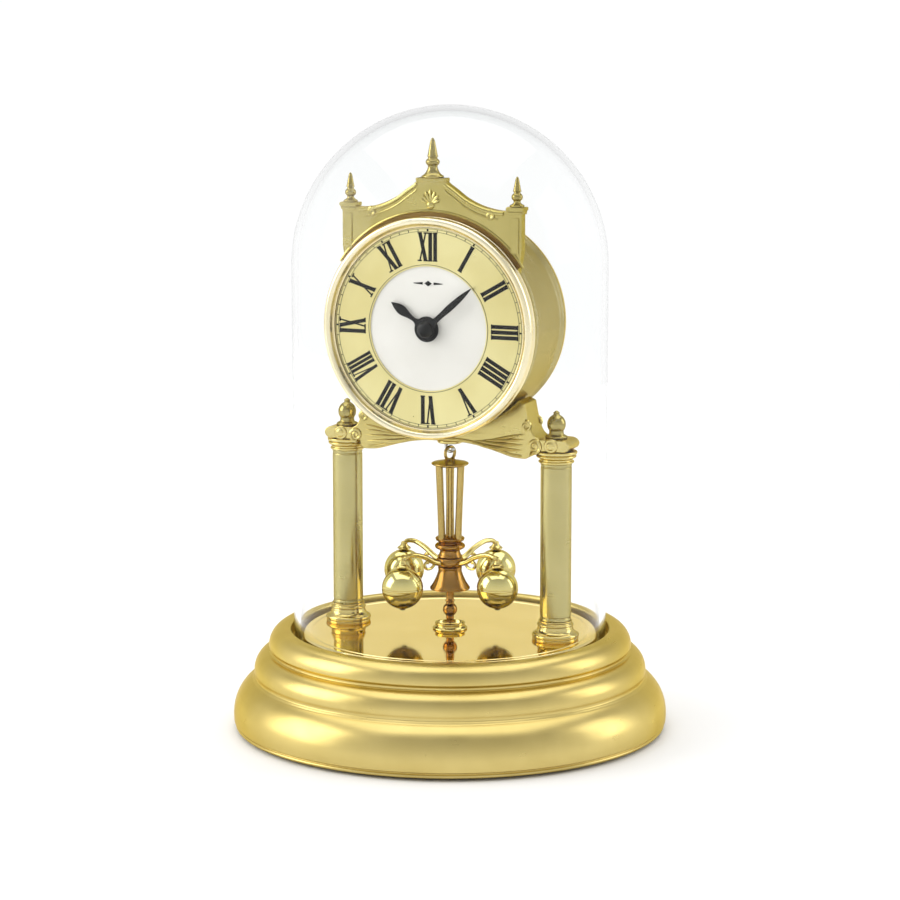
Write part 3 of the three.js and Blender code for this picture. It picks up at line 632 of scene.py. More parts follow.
def columns():
    for side in ("left", "right"):
        at = (middle(f"column_shaft_{side}")[0], 0, 0)
        shaft = shaft_outline(2 * half_height(f"column_shaft_{side}"))
        turnings = {
            "column_foot": (COLUMN_FOOT, bright_brass), "column_shaft": (shaft, shaft_brass),
            "column_capital": (CAPITAL, bright_brass),
        }
        for kind, (outline, material) in turnings.items():
            node = f"{kind}_{side}"
            profile = raised(outline, underside(node))
            piece(node + "_turning", [turned(profile, 0.12, 96)], material, node, at)
        node = f"column_ball_nut_{side}"
        nut = turned(raised(BALL_NUT, underside(node)), 0.12, 72)
        piece(f"ball_nut_{side}", [nut], painted_shade_brass, node, at)


columns()

# ---------- bridge

BRIDGE_HALF = extent("bridge")[1][1]
BRIDGE_REACH = reach("bridge")
BRIDGE_SEAT = extent("column_capital_right")[2][1] + 0.1
BRIDGE_TOP = underside("column_ball_nut_right") - 0.1
DRUM_Z = middle("drum_case")[2]
SADDLE_R = 38.9
BUSH_BORE = 3.1  # the hole for the clamp bush, through the bridge and the drum's wall


def bridge_underside():
    """The right half of the arch from the middle to the column."""
    arch = flowing([(0, 107.2), (8, 107), (15, 105.9), (21, 104.3), (26, 102.9), (30, 102.5)], 5)
    return arch + [(31.6, 102.5), (33.1, 103.4), (33.4, BRIDGE_SEAT)]


def bridge_outline():
    horn = flowing([(36.6, BRIDGE_TOP), (34.6, 111.4), (33.2, 114.5), (32.2, 118.5), (31.4, 122.6)], 5)
    middle_z = (BRIDGE_SEAT + BRIDGE_TOP) / 2
    end = arc(BRIDGE_REACH - 2.8, middle_z, 2.8, 2.2, -78, 78, 10)
    waist = BRIDGE_REACH - 3.4
    right = [*bridge_underside(), (waist, BRIDGE_SEAT), *end, (waist, BRIDGE_TOP), *horn]
    return mirrored(right + bow(SADDLE_R, bearing(29.6, 123 - DRUM_Z), -90, 40, DRUM_Z))


def scroll(x, z, radius, turns, start, face, flip=1):
    """A flat spiral of wire in relief on a face, wound in towards (x, z)."""
    steps = int(28 * turns)
    points, radii = [], []
    for i in range(steps + 1):
        share = i / steps
        across, up = polar(radius * (1 - 0.82 * share), start + 360 * turns * share)
        points.append((x + flip * across, z + up, face))
        radii.append(0.75 - 0.3 * share)
    return tube(points, radii)


def feather(points, widest, face):
    """A relief that swells from nothing and dies away again along a smooth curve."""
    route = flowing([(x, z, face) for x, z in points], 8)
    last = len(route) - 1
    return tube(route, [0.12 + widest * math.sin(math.pi * i / last) for i in range(last + 1)])


def rosette(x, z, face):
    """A small turned boss that stands out of the bar's face."""
    profile = [(0, 0.9), (1.1, 0.85), (1.6, 0.45), (2.3, 0.5), (2.7, 0.0), (0, -0.3)]
    outward = Matrix.Scale(math.copysign(1, face), 4, (0, 0, 1))
    made = turned(profile, 0.15, 40)
    made.transform(Matrix.Translation((x, z, face)) @ outward)
    return made


def bridge_relief(face, s):
    """The ornament at one end of one face: a lip, two scrolls, a rosette and a fan of leaves."""
    parts = [tube([(s * x, z + 1.1, face) for x, z in bridge_underside()[:-3]], 0.45)]
    parts.append(scroll(s * 35.0, 107.5, 2.5, 1.9, -100, face, s))
    parts.append(scroll(s * 31.8, 114.6, 1.7, 1.6, 80, face, -s))
    parts.append(rosette(s * COLUMN_X, 107.75, face))
    for k in range(4):
        start = (s * (9 + 3.2 * k), 107.9 + 0.35 * k)
        waist = (s * (19.5 + 2.2 * k), 105.9 + 1.5 * k)
        tip = (s * (30.2 + 0.4 * k), 105.6 + 2.0 * k)
        parts.append(feather([start, waist, tip], 0.75 - 0.08 * k, face))
    return parts


def bridge():
    beam = flat([soften(bridge_outline(), 0.5)], -BRIDGE_HALF, BRIDGE_HALF, 0.45)
    parts = [bored(beam, BUSH_BORE, 105, 115)]
    for face in (BRIDGE_HALF, -BRIDGE_HALF):
        for s in (-1, 1):
            parts += bridge_relief(face, s)
    piece("arched_bridge", parts, cast_brass, "bridge", stance=FACING)


def clamp_bush():
    low, high = extent("drum_clamp_bush")[2]
    profile = [(2, low), (4.2, low), (4.6, low + 0.3), (4.6, 106.8), (3, 106.8), (3, high), (2, high)]
    piece("clamp_bush", [turned(profile, 0.12, 48)], bright_brass, "drum_clamp_bush")


bridge()
clamp_bush()

# ---------- drum, bezel and dial

# Heights on the drum are distances in front of the clock's middle plane, so they are -Y.
AXIS = (0, 0, DRUM_Z)
DRUM_R = reach("drum_case")
DRUM_FRONT, DRUM_BACK = (-y for y in extent("drum_case")[1])
BEZEL_R = reach("bezel")
BEZEL_FRONT, BEZEL_BACK = (-y for y in extent("bezel")[1])
DIAL_R = reach("dial_plate")
DIAL_FRONT, DIAL_BACK = (-y for y in extent("dial_plate")[1])
RING_FRONT = -extent("chapter_ring")[1][0]
RING_OUTER = reach("chapter_ring")
RING_INNER = 22.3
PAINT = 0.1  # how far printed marks stand proud
SUNK = 0.02  # how far they go into what they are printed on
LAYER = 0.004  # how far apart marks are that cross each other


def on_drum(name, parts, material, node, stands=True):
    piece(name, parts, material, node, AXIS, FACING, stands)


def drum():
    wall = 1.6
    outer = [(DRUM_R, DRUM_FRONT)]
    for h in (12.6, -11.4, -14.4):
        outer += [(DRUM_R, h + 0.5), (DRUM_R - 0.3, h + 0.3), (DRUM_R - 0.3, h - 0.3), (DRUM_R, h - 0.5)]
    outer += [(DRUM_R, DRUM_BACK + 0.3), (DRUM_R - 0.3, DRUM_BACK)]
    profile = [(DRUM_R - wall, DRUM_BACK), (DRUM_R - wall, DRUM_FRONT), *outer]
    shell = bored(turned(profile, 0.12, 160), BUSH_BORE, -DRUM_R - 5, -DRUM_R + 5)
    on_drum("drum_shell", [shell], drum_brass, "drum_case")


def bezel():
    profile = [
        (DRUM_R + 0.3, BEZEL_BACK), (BEZEL_R, BEZEL_BACK), (BEZEL_R, BEZEL_BACK + 0.9), (BEZEL_R - 0.4, 19.9),
        (BEZEL_R - 0.4, 20.5), (BEZEL_R, 20.8),
        *arc(38.45, 22.0, BEZEL_R - 38.45, BEZEL_FRONT - 22.0, -10, 165, 18),
        (36.9, 22.2), (36.7, 21.9), *arc(36.45, 21.6, 0.3, 0.35, 40, 180, 6), (36.15, 20.8), (37.9, 20.8),
        (DRUM_R + 0.3, 19.9),
    ]
    on_drum("bezel_ring", [turned(profile, 0.1, 192)], highlight_pale_brass, "bezel")


def dial():
    sheet = [(3, DIAL_BACK), (DIAL_R, DIAL_BACK), (DIAL_R, DIAL_FRONT), (3, DIAL_FRONT)]
    on_drum("dial_face", [turned(sheet, 0.08, 160)], dial_cream, "dial_plate")
    ring = [
        (RING_INNER, DIAL_FRONT), (RING_OUTER, DIAL_FRONT),
        (RING_OUTER, RING_FRONT), (RING_INNER, RING_FRONT),
    ]
    on_drum("numeral_ring", [turned(ring, 0.1, 160)], ring_brass, "chapter_ring")


NUMERALS = ["XII", "I", "II", "III", "IIII", "V", "VI", "VII", "VIII", "IX", "X", "XI"]
NUMERAL_FOOT, NUMERAL_HEAD = 24.1, 34.4
WIDEST = 7.6  # a numeral that would be wider is squeezed to this
THICK, THIN, SERIF = 1.4, 0.55, 0.5
LETTER_WIDTH = {"I": 1.9, "V": 3.9, "X": 3.9}
SERIF_HALF, LEG = 0.85, 1.15  # half of a serif, and how far a slanted stroke's end stands from the middle


def bar(x0, x1, width, height):
    """A stroke from (x0, 0) to (x1, height), cut level at both ends."""
    half = width / 2
    return [(x0 - half, 0), (x0 + half, 0), (x1 + half, height), (x1 - half, height)]


def serif(x, half, y):
    return [(x - half, y), (x + half, y), (x + half, y + SERIF), (x - half, y + SERIF)]


def strokes(letter, height):
    """The outlines of one Roman letter about x = 0."""
    top = height - SERIF
    if letter == "I":
        return [bar(0, 0, THICK, height), serif(0, SERIF_HALF, 0), serif(0, SERIF_HALF, top)]
    if letter == "V":
        ends = [serif(s * LEG, SERIF_HALF, top) for s in (-1, 1)]
        return [bar(0, -LEG, THICK, height), bar(0, LEG, THIN, height), *ends]
    ends = [serif(s * LEG, SERIF_HALF, y) for s in (-1, 1) for y in (0, top)]
    return [bar(LEG, -LEG, THICK, height), bar(-LEG, LEG, THIN, height), *ends]


def slab(outline, back, front):
    """A thin prism with square edges, for printed marks."""
    bm = bmesh.new()
    low = [bm.verts.new((x, y, back)) for x, y in outline]
    high = [bm.verts.new((x, y, front)) for x, y in outline]
    bm.faces.new(low[::-1])
    bm.faces.new(high)
    for i in range(len(outline)):
        n = (i + 1) % len(outline)
        bm.faces.new((low[i], low[n], high[n], high[i]))
    return mesh_from(bm)


def numerals():
    height = NUMERAL_HEAD - NUMERAL_FOOT
    parts = []
    for hour, text in enumerate(NUMERALS):
        total = sum(LETTER_WIDTH[c] for c in text)
        squeeze = min(1, WIDEST / total)
        x = -total / 2
        for order, letter in enumerate(text):
            x += LETTER_WIDTH[letter] / 2
            for k, outline in enumerate(strokes(letter, height)):
                lift = LAYER * (k + 4 * (order % 2))
                placed = [((x + px) * squeeze, NUMERAL_FOOT + py) for px, py in outline]
                mark = slab(placed, RING_FRONT - SUNK, RING_FRONT + PAINT + lift)
                parts.append(shifted(mark, turn=-30 * hour))
            x += LETTER_WIDTH[letter] / 2
    on_drum("numerals", parts, hand_black, "chapter_ring", stands=False)


def line_ring(radius, width, base):
    low, high, outside = base - SUNK, base + PAINT, radius + width
    return lathe([(radius, low), (outside, low), (outside, high), (radius, high)], 160)


def minute_track():
    inner, outer = 34.7, 35.6
    parts = [line_ring(inner, 0.12, RING_FRONT), line_ring(outer, 0.12, RING_FRONT)]
    parts += [line_ring(RING_INNER + 0.5, 0.16, RING_FRONT)]
    for minute in range(60):
        half = 0.3 if minute % 5 == 0 else 0.11
        tick = slab([(-half, inner), (half, inner), (half, outer), (-half, outer)],
                    RING_FRONT - SUNK, RING_FRONT + PAINT + LAYER)
        parts.append(shifted(tick, turn=-6 * minute))
    on_drum("minute_track", parts, hand_black, "chapter_ring", stands=False)


def dial_ornament():
    """A plain lozenge between two tapering dashes, under the twelve."""
    y = 16.2
    shapes = [[(0, y - 1.0), (1.4, y), (0, y + 1.0), (-1.4, y)]]
    for s in (-1, 1):
        shapes.append([(s * 2.1, y - 0.45), (s * 5.6, y - 0.1), (s * 5.6, y + 0.1), (s * 2.1, y + 0.45)])
    parts = [slab(shape, DIAL_FRONT - SUNK, DIAL_FRONT + PAINT) for shape in shapes]
    on_drum("dial_ornament", parts, hand_black, "dial_plate", stands=False)


drum()
bezel()
dial()
numerals()
minute_track()
dial_ornament()

# ---------- hands


def hand_angle(node):
    """Where a hand points, in degrees clockwise from twelve: towards the far end of its box."""
    (x0, x1), _, (_, z1) = extent(node)
    x = x0 if abs(x0) > abs(x1) else x1
    return 90 - bearing(x, z1 - DRUM_Z)


def hand(name, node, half_widths, collet, hole):
    """A leaf-shaped hand: (half width, distance) pairs from the collet to the tip."""
    _, (y0, y1), _ = extent(node)
    side = flowing(half_widths, 8)
    root = bearing(*side[0])
    around = bow(collet, 180 - root, 360 + root, 48)
    outline = [*around[1:-1], *side, *[(-x, y) for x, y in reversed(side[:-1])]]
    leaf = flat([outline, circle(hole, steps=40)], -y1, -y0, 0.1)
    shifted(leaf, turn=-hand_angle(node))
    on_drum(name, [leaf], hand_black, node)


def hands():
    hour = [(1.3, 4.4), (0.75, 5.8), (0.95, 8.0), (1.75, 11.2), (1.3, 13.8), (0.05, 16.4)]
    minute = [(1.9, 3.2), (1.1, 5.0), (1.0, 8), (1.2, 13), (0.85, 19), (0.05, 23.5)]
    hand("hour_pointer", "hour_hand", hour, 4.6, 2.6)
    hand("minute_pointer", "minute_hand", minute, 3.7, 1.3)
    _, (front, back), _ = extent("hand_nut")
    cap = [
        (0, -front), *arc(0, 24.0, 2.85, -front - 24.0, 80, 8, 10), (2.95, 23.9), (2.95, -back), (1.3, -back),
        (1.3, 24.7), (0, 24.7),
    ]
    on_drum("hub_cap", [turned(cap, 0.08, 64)], hand_black, "hand_nut")


hands()

# ---------- pediment and finials

CREST_FRONT, CREST_BACK = (-y for y in extent("pediment")[1])
CREST_PEAK = extent("pediment")[2][1] - DRUM_Z
TOWER_X = middle("finial_right")[0]
TOWER_TOP = underside("finial_right") - DRUM_Z
TOWER_HALF = reach("pediment") - TOWER_X
SHADOW_BAND_R = 41.8  # outside of the dark sheet that paints the shadow over the bezel; the edge bead runs along it


def crest_slope():
    """The ogee from a tower to the centre block, right half, from the outside in."""
    inside = TOWER_X - TOWER_HALF
    dip = [(inside, 42.5), (inside - 4, 42.6), (19, 43.9), (13.4, 46.4), (8.9, 49.6), (6.5, 51.2)]
    return flowing([*dip, (5.4, 52.2)], 5)


def crest_outline():
    arch = bow(DRUM_R + 0.3, 90, bearing(32.9, 20.6), 40)
    out = TOWER_X + TOWER_HALF
    foot = [(out - 1.2, 25.4), (out - 0.7, 28.4), (out - 0.7, 41.4), (out, 42), (out, TOWER_TOP)]
    inside = (TOWER_X - TOWER_HALF, TOWER_TOP)
    return mirrored([*arch, *foot, inside, *crest_slope(), (5.4, CREST_PEAK), (0, CREST_PEAK)])


def crest_beads():
    """Two beads on the front face that follow each slope."""
    parts = []
    for s in (-1, 1):
        outer = [(s * x, z - 0.9, CREST_FRONT) for x, z in crest_slope()[2:]]
        inner = [(s * x * 0.985, z - 2.9, CREST_FRONT) for x, z in crest_slope()[4:]]
        parts += [tube(outer, 0.7), tube(inner, 0.35)]
    return parts


def tower_mouldings(s):
    """The panel and the two cap mouldings of one tower, and the curl beside it."""
    parts = [scroll(s * 22.6, 40.9, 1.4, 1.6, 90, CREST_FRONT, -s)]
    for low, high, half, proud in (27.5, 40.2, 1.5, 0.5), (41.3, 42.3, 2.8, 0.45), (42.6, 43.9, 3.2, 0.8):
        block = rounded_box(s * TOWER_X - half, s * TOWER_X + half, low, high, 0.35)
        parts.append(flat([block], CREST_BACK - proud, CREST_FRONT + proud))
    return parts


def crest_shell():
    """Seven rays that fan out above a boss under the peak."""
    boss = lathe([(0, 0.9), *arc(0, 0, 1.5, 0.9, 75, 0, 6), (0, -0.2)], 32)
    parts = [shifted(boss, 0, 43.8, CREST_FRONT)]
    for k in range(-3, 4):
        length = 5.4 - 0.45 * abs(k)
        ray = raised([polar(length * share, 90 - 21 * k) for share in (0.18, 0.5, 0.8, 1.0)], 44)
        parts.append(tube([(x, z, CREST_FRONT) for x, z in ray], [0.25, 0.55, 0.75, 0.3]))
    return parts


def crest():
    sheet = flat([crest_outline()], CREST_BACK, CREST_FRONT, 0.3)
    block = rounded_box(-5.6, 5.6, CREST_PEAK - 1.4, CREST_PEAK, 0.3)
    seat = flat([block], CREST_BACK - 0.3, CREST_FRONT + 0.3)
    edge = [(x, z, CREST_FRONT) for x, z in bow(SHADOW_BAND_R, 147, 33, 60)]
    parts = [sheet, seat, tube(edge, 0.5), *crest_beads(), *crest_shell()]
    parts += [*tower_mouldings(-1), *tower_mouldings(1)]
    on_drum("crest", parts, crest_brass, "pediment")
    # A dark sheet on the crest's face over the bezel: a painted shadow.
    shadow_band = [*bow(SHADOW_BAND_R, 146, 34, 60), *bow(DRUM_R + 0.5, 34, 146, 60)]
    shadow_sheet = flat([shadow_band], CREST_FRONT - 0.2, CREST_FRONT + 0.06, 0.03)
    on_drum("crest_painted_shadow", [shadow_sheet], painted_shadow_brass, "pediment", stands=False)


def finials():
    side_turning = [
        (0, 0), (2.5, 0), (2.6, 0.25), (2.6, 0.6), (1.9, 0.9), (1.3, 1.4), (1.2, 1.8),
        *arc(0, 3.4, 2.0, 1.6, -48, 50, 10), (1.1, 5.1), (1.5, 5.4), (1.35, 5.8), (1.05, 7.4), (0.6, 9.7),
        (0.25, 10.4), (0, 10.5),
    ]
    centre_turning = [
        (0, 0), (3.8, 0), (4.0, 0.25), (4.0, 0.7), (3.3, 1.0), (2.6, 1.7), (2.0, 2.8), (1.7, 3.7),
        *arc(0, 5.5, 2.5, 1.6, -45, 46, 10), (1.6, 7.1), (1.95, 7.5), (1.75, 8.0), (1.4, 10), (0.85, 12.8),
        (0.35, 13.8), (0, 14),
    ]
    turnings = {"finial_left": side_turning, "finial_right": side_turning, "finial_centre": centre_turning}
    for node, profile in turnings.items():
        x, y, _ = middle(node)
        at = (x, y, underside(node))
        piece(node + "_spire", [turned(profile, 0.1, 64)], painted_shade_brass, node, at)


crest()
finials()

# ---------- rear cover, door and knob

COVER_OUT, COVER_IN = -18.6, -17.1
PIN_Y, PIN_Z = middle("battery_door_pin")[1], middle("battery_door_pin")[2] - DRUM_Z
DOOR_HALF = reach("battery_door")
DOOR_LOW = underside("battery_door") - DRUM_Z
DOOR_TOP = 23.4
KNUCKLE_R = 1.3
KNOB_X, KNOB_Z = middle("set_knob")[0], -12


def knuckle(x0, x1):
    barrel = turned([(0.8, x0), (KNUCKLE_R, x0), (KNUCKLE_R, x1), (0.8, x1)], 0.12, 32)
    barrel.transform(Matrix.Translation((0, PIN_Z, -PIN_Y)) @ SIDEWAYS)
    return barrel


def screw_places():
    places = [middle(f"rear_screw_{side}") for side in ("left", "right")]
    return [(x, z - DRUM_Z) for x, _, z in places]


def rear_cover():
    radius = reach("rear_cover")
    hatch = rounded_box(-DOOR_HALF - 0.7, DOOR_HALF + 0.7, DOOR_LOW - 0.7, DOOR_TOP + 0.7, 0.8)
    holes = [hatch, circle(1.6, KNOB_X, KNOB_Z, 32), *[circle(1.3, x, z, 24) for x, z in screw_places()]]
    parts = [flat([circle(radius, steps=160), *holes], COVER_OUT, COVER_IN, 0.2)]
    rim = [(radius - 1.9, COVER_OUT + 0.1), *arc(radius - 1.1, COVER_OUT, 0.8, 0.6, 180, 360, 8)]
    parts.append(lathe(rim, 160))
    well = [(7.2, COVER_OUT + 0.1), (7.4, COVER_OUT - 0.3), (7.9, COVER_OUT - 0.3), (8.1, COVER_OUT + 0.1)]
    parts.append(shifted(turned(well, 0.1, 64), KNOB_X, KNOB_Z))
    for s in (-1, 1):
        x0, x1 = sorted((s * 8.4, s * 12.2))
        parts.append(knuckle(x0, x1))
        lug = rounded_box(x0, x1, PIN_Z + 0.2, PIN_Z + 1.3, 0.2)
        parts.append(flat([lug], -PIN_Y - 0.5, COVER_OUT + 0.2, 0.15))
    for k in range(5):
        slot = rounded_box(-12 + k * 0.6, 12 - k * 0.6, -25.4 - 1.9 * k, -24.7 - 1.9 * k, 0.3)
        parts.append(flat([slot], COVER_OUT - 0.25, COVER_OUT + 0.1, 0.1))
    on_drum("rear_plate", parts, satin_brass, "rear_cover")


def door():
    leaf = rounded_box(-DOOR_HALF, DOOR_HALF, DOOR_LOW, DOOR_TOP, 0.6)
    parts = [flat([leaf], -18.8, -17.6, 0.2)]
    lip = rounded_box(-6, 6, DOOR_LOW + 0.6, DOOR_LOW + 1.8, 0.5)
    parts.append(flat([lip], -20.2, -18.7, 0.3))
    parts.append(flat([rounded_box(-8, 8, DOOR_TOP - 1.4, DOOR_TOP + 0.2, 0.2)], -PIN_Y, -18.6, 0.15))
    parts.append(knuckle(-8, 8))
    for k in range(6):
        z = DOOR_LOW + 3.6 + 1.5 * k
        parts.append(flat([rounded_box(-20, 20, z, z + 0.6, 0.25)], -19.05, -18.7, 0.1))
    on_drum("battery_flap_leaf", parts, satin_brass, "battery_door")


def rear_screws():
    for side, (x, z) in zip(("left", "right"), screw_places()):
        shank = [(0, -14), (1, -14), (1, COVER_OUT - 0.1), (1, COVER_OUT), (0, COVER_OUT)]
        rim = circle(2.45, steps=40)
        quarter = (0.35, 0.35), (1.5, 0.35), (1.5, -0.35), (0.35, -0.35)
        cross = [rotation(-90 * k, "Z") @ Vector((*p, 0)) for k in range(4) for p in quarter]
        head = flat([rim, [p.xy for p in cross]], COVER_OUT - 1.15, COVER_OUT - 0.35, 0.12)
        seat = flat([circle(2.3, steps=40)], COVER_OUT - 0.6, COVER_OUT - 0.1, 0.1)
        piece(f"rear_screw_{side}_head", [lathe(shank, 24), head, seat], steel, f"rear_screw_{side}",
              (x, 0, DRUM_Z + z), FACING)


def setting_knob():
    front, back = (-y for y in extent("set_knob")[1])
    flutes, steps = 22, 6  # steps is the number of points in one flute
    swell = [5.35 + polar(0.25, 360 * i / steps)[0] for i in range(flutes * steps)]
    outline = [polar(r, 360 * i / len(swell)) for i, r in enumerate(swell)]
    dish = [(0, back + 0.5), (3.4, back + 0.5), (3.9, back), (4.6, back), (4.6, back + 2), (0, back + 2)]
    parts = [
        flat([outline], back + 0.25, back + 3.4, 0.25),
        turned(dish, 0.2, 48),
        lathe([(0, back + 3), (1.2, back + 3), (1.2, front), (0, front)], 32),
        flat([gear_outline(8, 0.75, 30 + 180 / 8)], 12.4, 14.2, 0.05),
    ]
    piece("setting_knob", parts, black_plastic, "set_knob", (KNOB_X, 0, DRUM_Z + KNOB_Z), FACING)


def gear_outline(teeth, module, first):
    """Slim straight-flanked teeth, the first one at an angle in degrees."""
    tip, root = module * (teeth + 1.7) / 2, module * (teeth - 2.5) / 2
    tooth = (root, -0.25), (tip, -0.1), (tip, 0.1), (root, 0.25)
    return [polar(r, first + 360 * (i + share) / teeth) for i in range(teeth) for r, share in tooth]


rear_cover()
door()
rear_screws()
setting_knob()

# ---------- battery and movement


def battery():
    (x0, nub), _, _ = extent("battery_cell")
    _, y, z = middle("battery_cell")
    radius = half_height("battery_cell")
    shoulder = nub - 1
    profile = [
        (0, x0), (5.2, x0), (5.6, x0 + 0.25), (6.3, x0 + 0.2), (radius - 0.2, x0), (radius, x0 + 0.3),
        (radius, shoulder - 0.3), (radius - 0.3, shoulder), (6.2, shoulder - 0.1), (5.8, shoulder - 0.5),
        (2.9, shoulder - 0.4), (2.7, shoulder), (2.7, nub - 0.15), (2.5, nub), (0, nub),
    ]
    piece("dry_cell", [turned(profile, 0.15, 64)], wrap, "battery_cell", (0, y, z), SIDEWAYS)


def carried_over():
    """CAD pieces whose shape is right: they get a finish, and the moulded ones softer edges."""
    finishes = {
        "movement_front_case": black_plastic, "movement_rear_case": black_plastic,
        "pendulum_motor": black_plastic, "circuit_board": circuit_lacquer(), "stepping_motor_coil": winding,
        "battery_contact_plus": steel, "battery_contact_minus": steel, "battery_door_pin": steel,
        "tie_bolt_left": steel, "tie_bolt_right": steel, "minute_arbor": steel,
        "hour_wheel": bright_brass, "minute_wheel": bright_brass, "third_wheel": bright_brass,
    }
    for node, material in finishes.items():
        part = frame["nodes"][node]
        part.data.materials.clear()
        part.data.materials.append(material)
        edge = part.modifiers.new("eased_edges", "BEVEL")
        edge.width = 0.00015
        edge.segments = 2
        edge.limit_method = "ANGLE"
        edge.angle_limit = math.radians(40)


battery()
carried_over()

# ---------- pendulum

BALL_X, BALL_Y, _ = middle("pendulum_ball_1")
BALL_R = half_height("pendulum_ball_1")
ARM_R = math.hypot(BALL_X, BALL_Y)
REST = rotation(bearing(BALL_X, BALL_Y), "Z")


def on_pendulum(name, parts, material, node):
    piece(name, parts, material, node, stance=REST)


def quarters(make):
    """The meshes of make(), called once for each of the four arms."""
    return [shifted(make(), turn=90 * k) for k in range(4)]


def drive_hook():
    shaft = turned([(0, 106.6), (1.3, 106.8), (1.5, 107.2), (1.5, 128), (0, 128)], 0.1, 32)
    bend = flowing([(0, 0, 107.4), (0, 0.4, 106.4), (0, 1.7, 105.2), (0, 2, 103.8), (0, 1.3, 102.8),
                    (0, 0, 102.5), (0, -1.3, 102.9), (0, -1.8, 104)], 8)
    on_pendulum("hook", [shaft, tube(bend, 0.6, 16)], steel, "drive_hook")


def cage():
    top, bottom = 97.6, 70.4
    ring = [(2.4 * x, 0, 101.8 + 2.4 * z) for x, z in circle(1, steps=40)]
    disc = raised([
        (0, -0.3), (5.9, -0.3), (6.5, 0), (6.9, 0.35), (6.8, 0.7), (6.1, 1.0), (4.4, 1.25), (2.6, 1.6),
        (1.7, 2.2), (0, 2.4),
    ], top)
    rod = [(5.6, 0, top + 0.2), (4.9, 0, 84), (4.2, 0, bottom)]
    rods = quarters(lambda: tube(rod, [1.35, 1.25, 1.3], 16))
    spine = tube([(0, 0, bottom), (0, 0, 84), (0, 0, top)], [1.6, 1.4, 1.6], 16)
    beads = quarters(lambda: ball(1.35, 5.55, 0, top - 0.6, 24))
    parts = [tube(ring, 0.6, 16, closed=True), turned(disc, 0.15, 64), spine, *rods, *beads]
    on_pendulum("cage", parts, cage_brass, "pendulum_cage")
    collar = [
        (1.5, 63.2), (4.4, 63.2), (4.6, 63.6), (4.0, 64.3), (3.7, 65.2), (3.7, 65.8),
        *arc(3.4, 67.3, 2.2, 1.3, -75, 70, 12), (4.3, 69.0), (5.2, 69.5), (5.4, 70.3), (4.9, bottom + 0.3),
        (0, bottom + 0.3), (0, 69), (1.5, 69),
    ]
    on_pendulum("collar", [lathe(soften(collar, 0.1, 2, False), 64)], deep_brass, "pendulum_cage")


def spider():
    hub = [(1.5, 60), (4.9, 60), (5.3, 60.7), (5.4, 61.5), (5.1, 62.3), (4.6, 63), (1.5, 63)]
    on_pendulum("hub", [turned(hub, 0.2, 64)], deep_brass, "pendulum_spider")
    route = flowing([(4.2, 0, 61.3), (8.0, 0, 62.2), (13, 0, 64.8), (18.4, 0, 66.4), (22.6, 0, 66.0),
                     (ARM_R, 0, 64.2)], 8)
    widths = [1.15 - 0.4 * i / (len(route) - 1) for i in range(len(route))]
    curl = flowing([(7.6, 0, 61.8), (9.8, 0, 60.2), (12.2, 0, 60.4), (13.0, 0, 61.8), (12.1, 0, 62.8),
                    (11.2, 0, 62.3)], 8)
    cap = [
        (0, 62.8), (2.4, 62.8), (2.6, 63.1), (2.1, 63.6), (1.5, 64.0), (1.3, 64.4),
        *arc(0, 65, 1.2, 0.7, -20, 70, 5), (0, 65.7),
    ]
    arms = quarters(lambda: tube(route, widths, 16))
    curls = quarters(lambda: tube(curl, 0.55))
    caps = quarters(lambda: shifted(turned(cap, 0.1, 32), ARM_R))
    on_pendulum("arms", [*arms, *curls, *caps], bright_brass, "pendulum_spider")


def bell():
    profile = [
        (1.5, 59.7), (4.1, 59.7), (4.5, 59.3), (4.5, 58.9), (4.2, 58.6), (4.5, 57.4), (5.0, 55.9),
        (5.9, 54.0), (6.9, 52.4), (7.4, 51.8), (7.3, 51.2), (6.7, 51.1), (5.6, 52.6), (4.3, 54.3),
        (1.5, 54.4),
    ]
    on_pendulum("bell", [turned(profile, 0.2, 72)], deep_brass, "pendulum_bell")


def spindle():
    tip = underside("pendulum_spindle")
    profile = [
        (0, tip), (0.55, tip + 0.5), (1.1, tip + 1.4), (1.45, tip + 2.3), (1.4, 40.9),
        *arc(0, 43.4, 2.65, 2.6, -56, 56, 12), (1.4, 46.2), (1.8, 46.8), (1.4, 47.4), (1.4, 50.0),
        (1.7, 50.8), (2.4, 51.5), (3.0, 52.3), (3.2, 53.2), (3.0, 54.0), (1.2, 54.1), (1.2, 68.4), (0, 68.4),
    ]
    turning = turned(profile, 0.12, 56)
    on_pendulum("spindle", [turning], deep_brass, "pendulum_spindle")


def balls():
    for i in (1, 2, 3, 4):
        x, y, z = middle(f"pendulum_ball_{i}")
        groove = [(BALL_R, 0.35), (BALL_R - 0.18, 0.2), (BALL_R - 0.18, -0.2), (BALL_R, -0.35)]
        profile = [
            (0, BALL_R), *bow(BALL_R, 87, 3.2, 26), *groove, *bow(BALL_R, -3.2, -80, 24),
            (1.1, -BALL_R - 0.1), (0.9, -BALL_R - 0.5), (0, -BALL_R - 0.6),
        ]
        piece(f"weight_ball_{i}", [lathe(profile, 72)], ball_brass_painted_shade, f"pendulum_ball_{i}", (x, y, z))


drive_hook()
cage()
spider()
bell()
spindle()
balls()

# ---------- dome


def dome():
    (_, radius), _, (low, high) = extent("glass_dome")
    thickness = 2.2
    inner = radius - thickness
    centre = high - radius
    outside = bow(radius, 0, 90, 40, centre)
    inside = bow(inner, 90, 0, 40, centre)
    lip = arc((radius + inner) / 2, low + thickness / 2, thickness / 2, thickness / 2, 180, 360, 10)
    # Short rings at both ends of the straight wall keep its shading level, so it doesn't bend the view.
    ends = (centre - 1, low + 2)
    wall = [(inner, z) for z in ends], [(radius, z) for z in reversed(ends)]
    profile = [*inside, *wall[0], *lip, *wall[1], *outside]
    profile[0], profile[-1] = (0, profile[0][1]), (0, high)
    piece("dome_shell", [lathe(profile, 192)], glass, "glass_dome")


dome()

# ---------- floor, light and camera

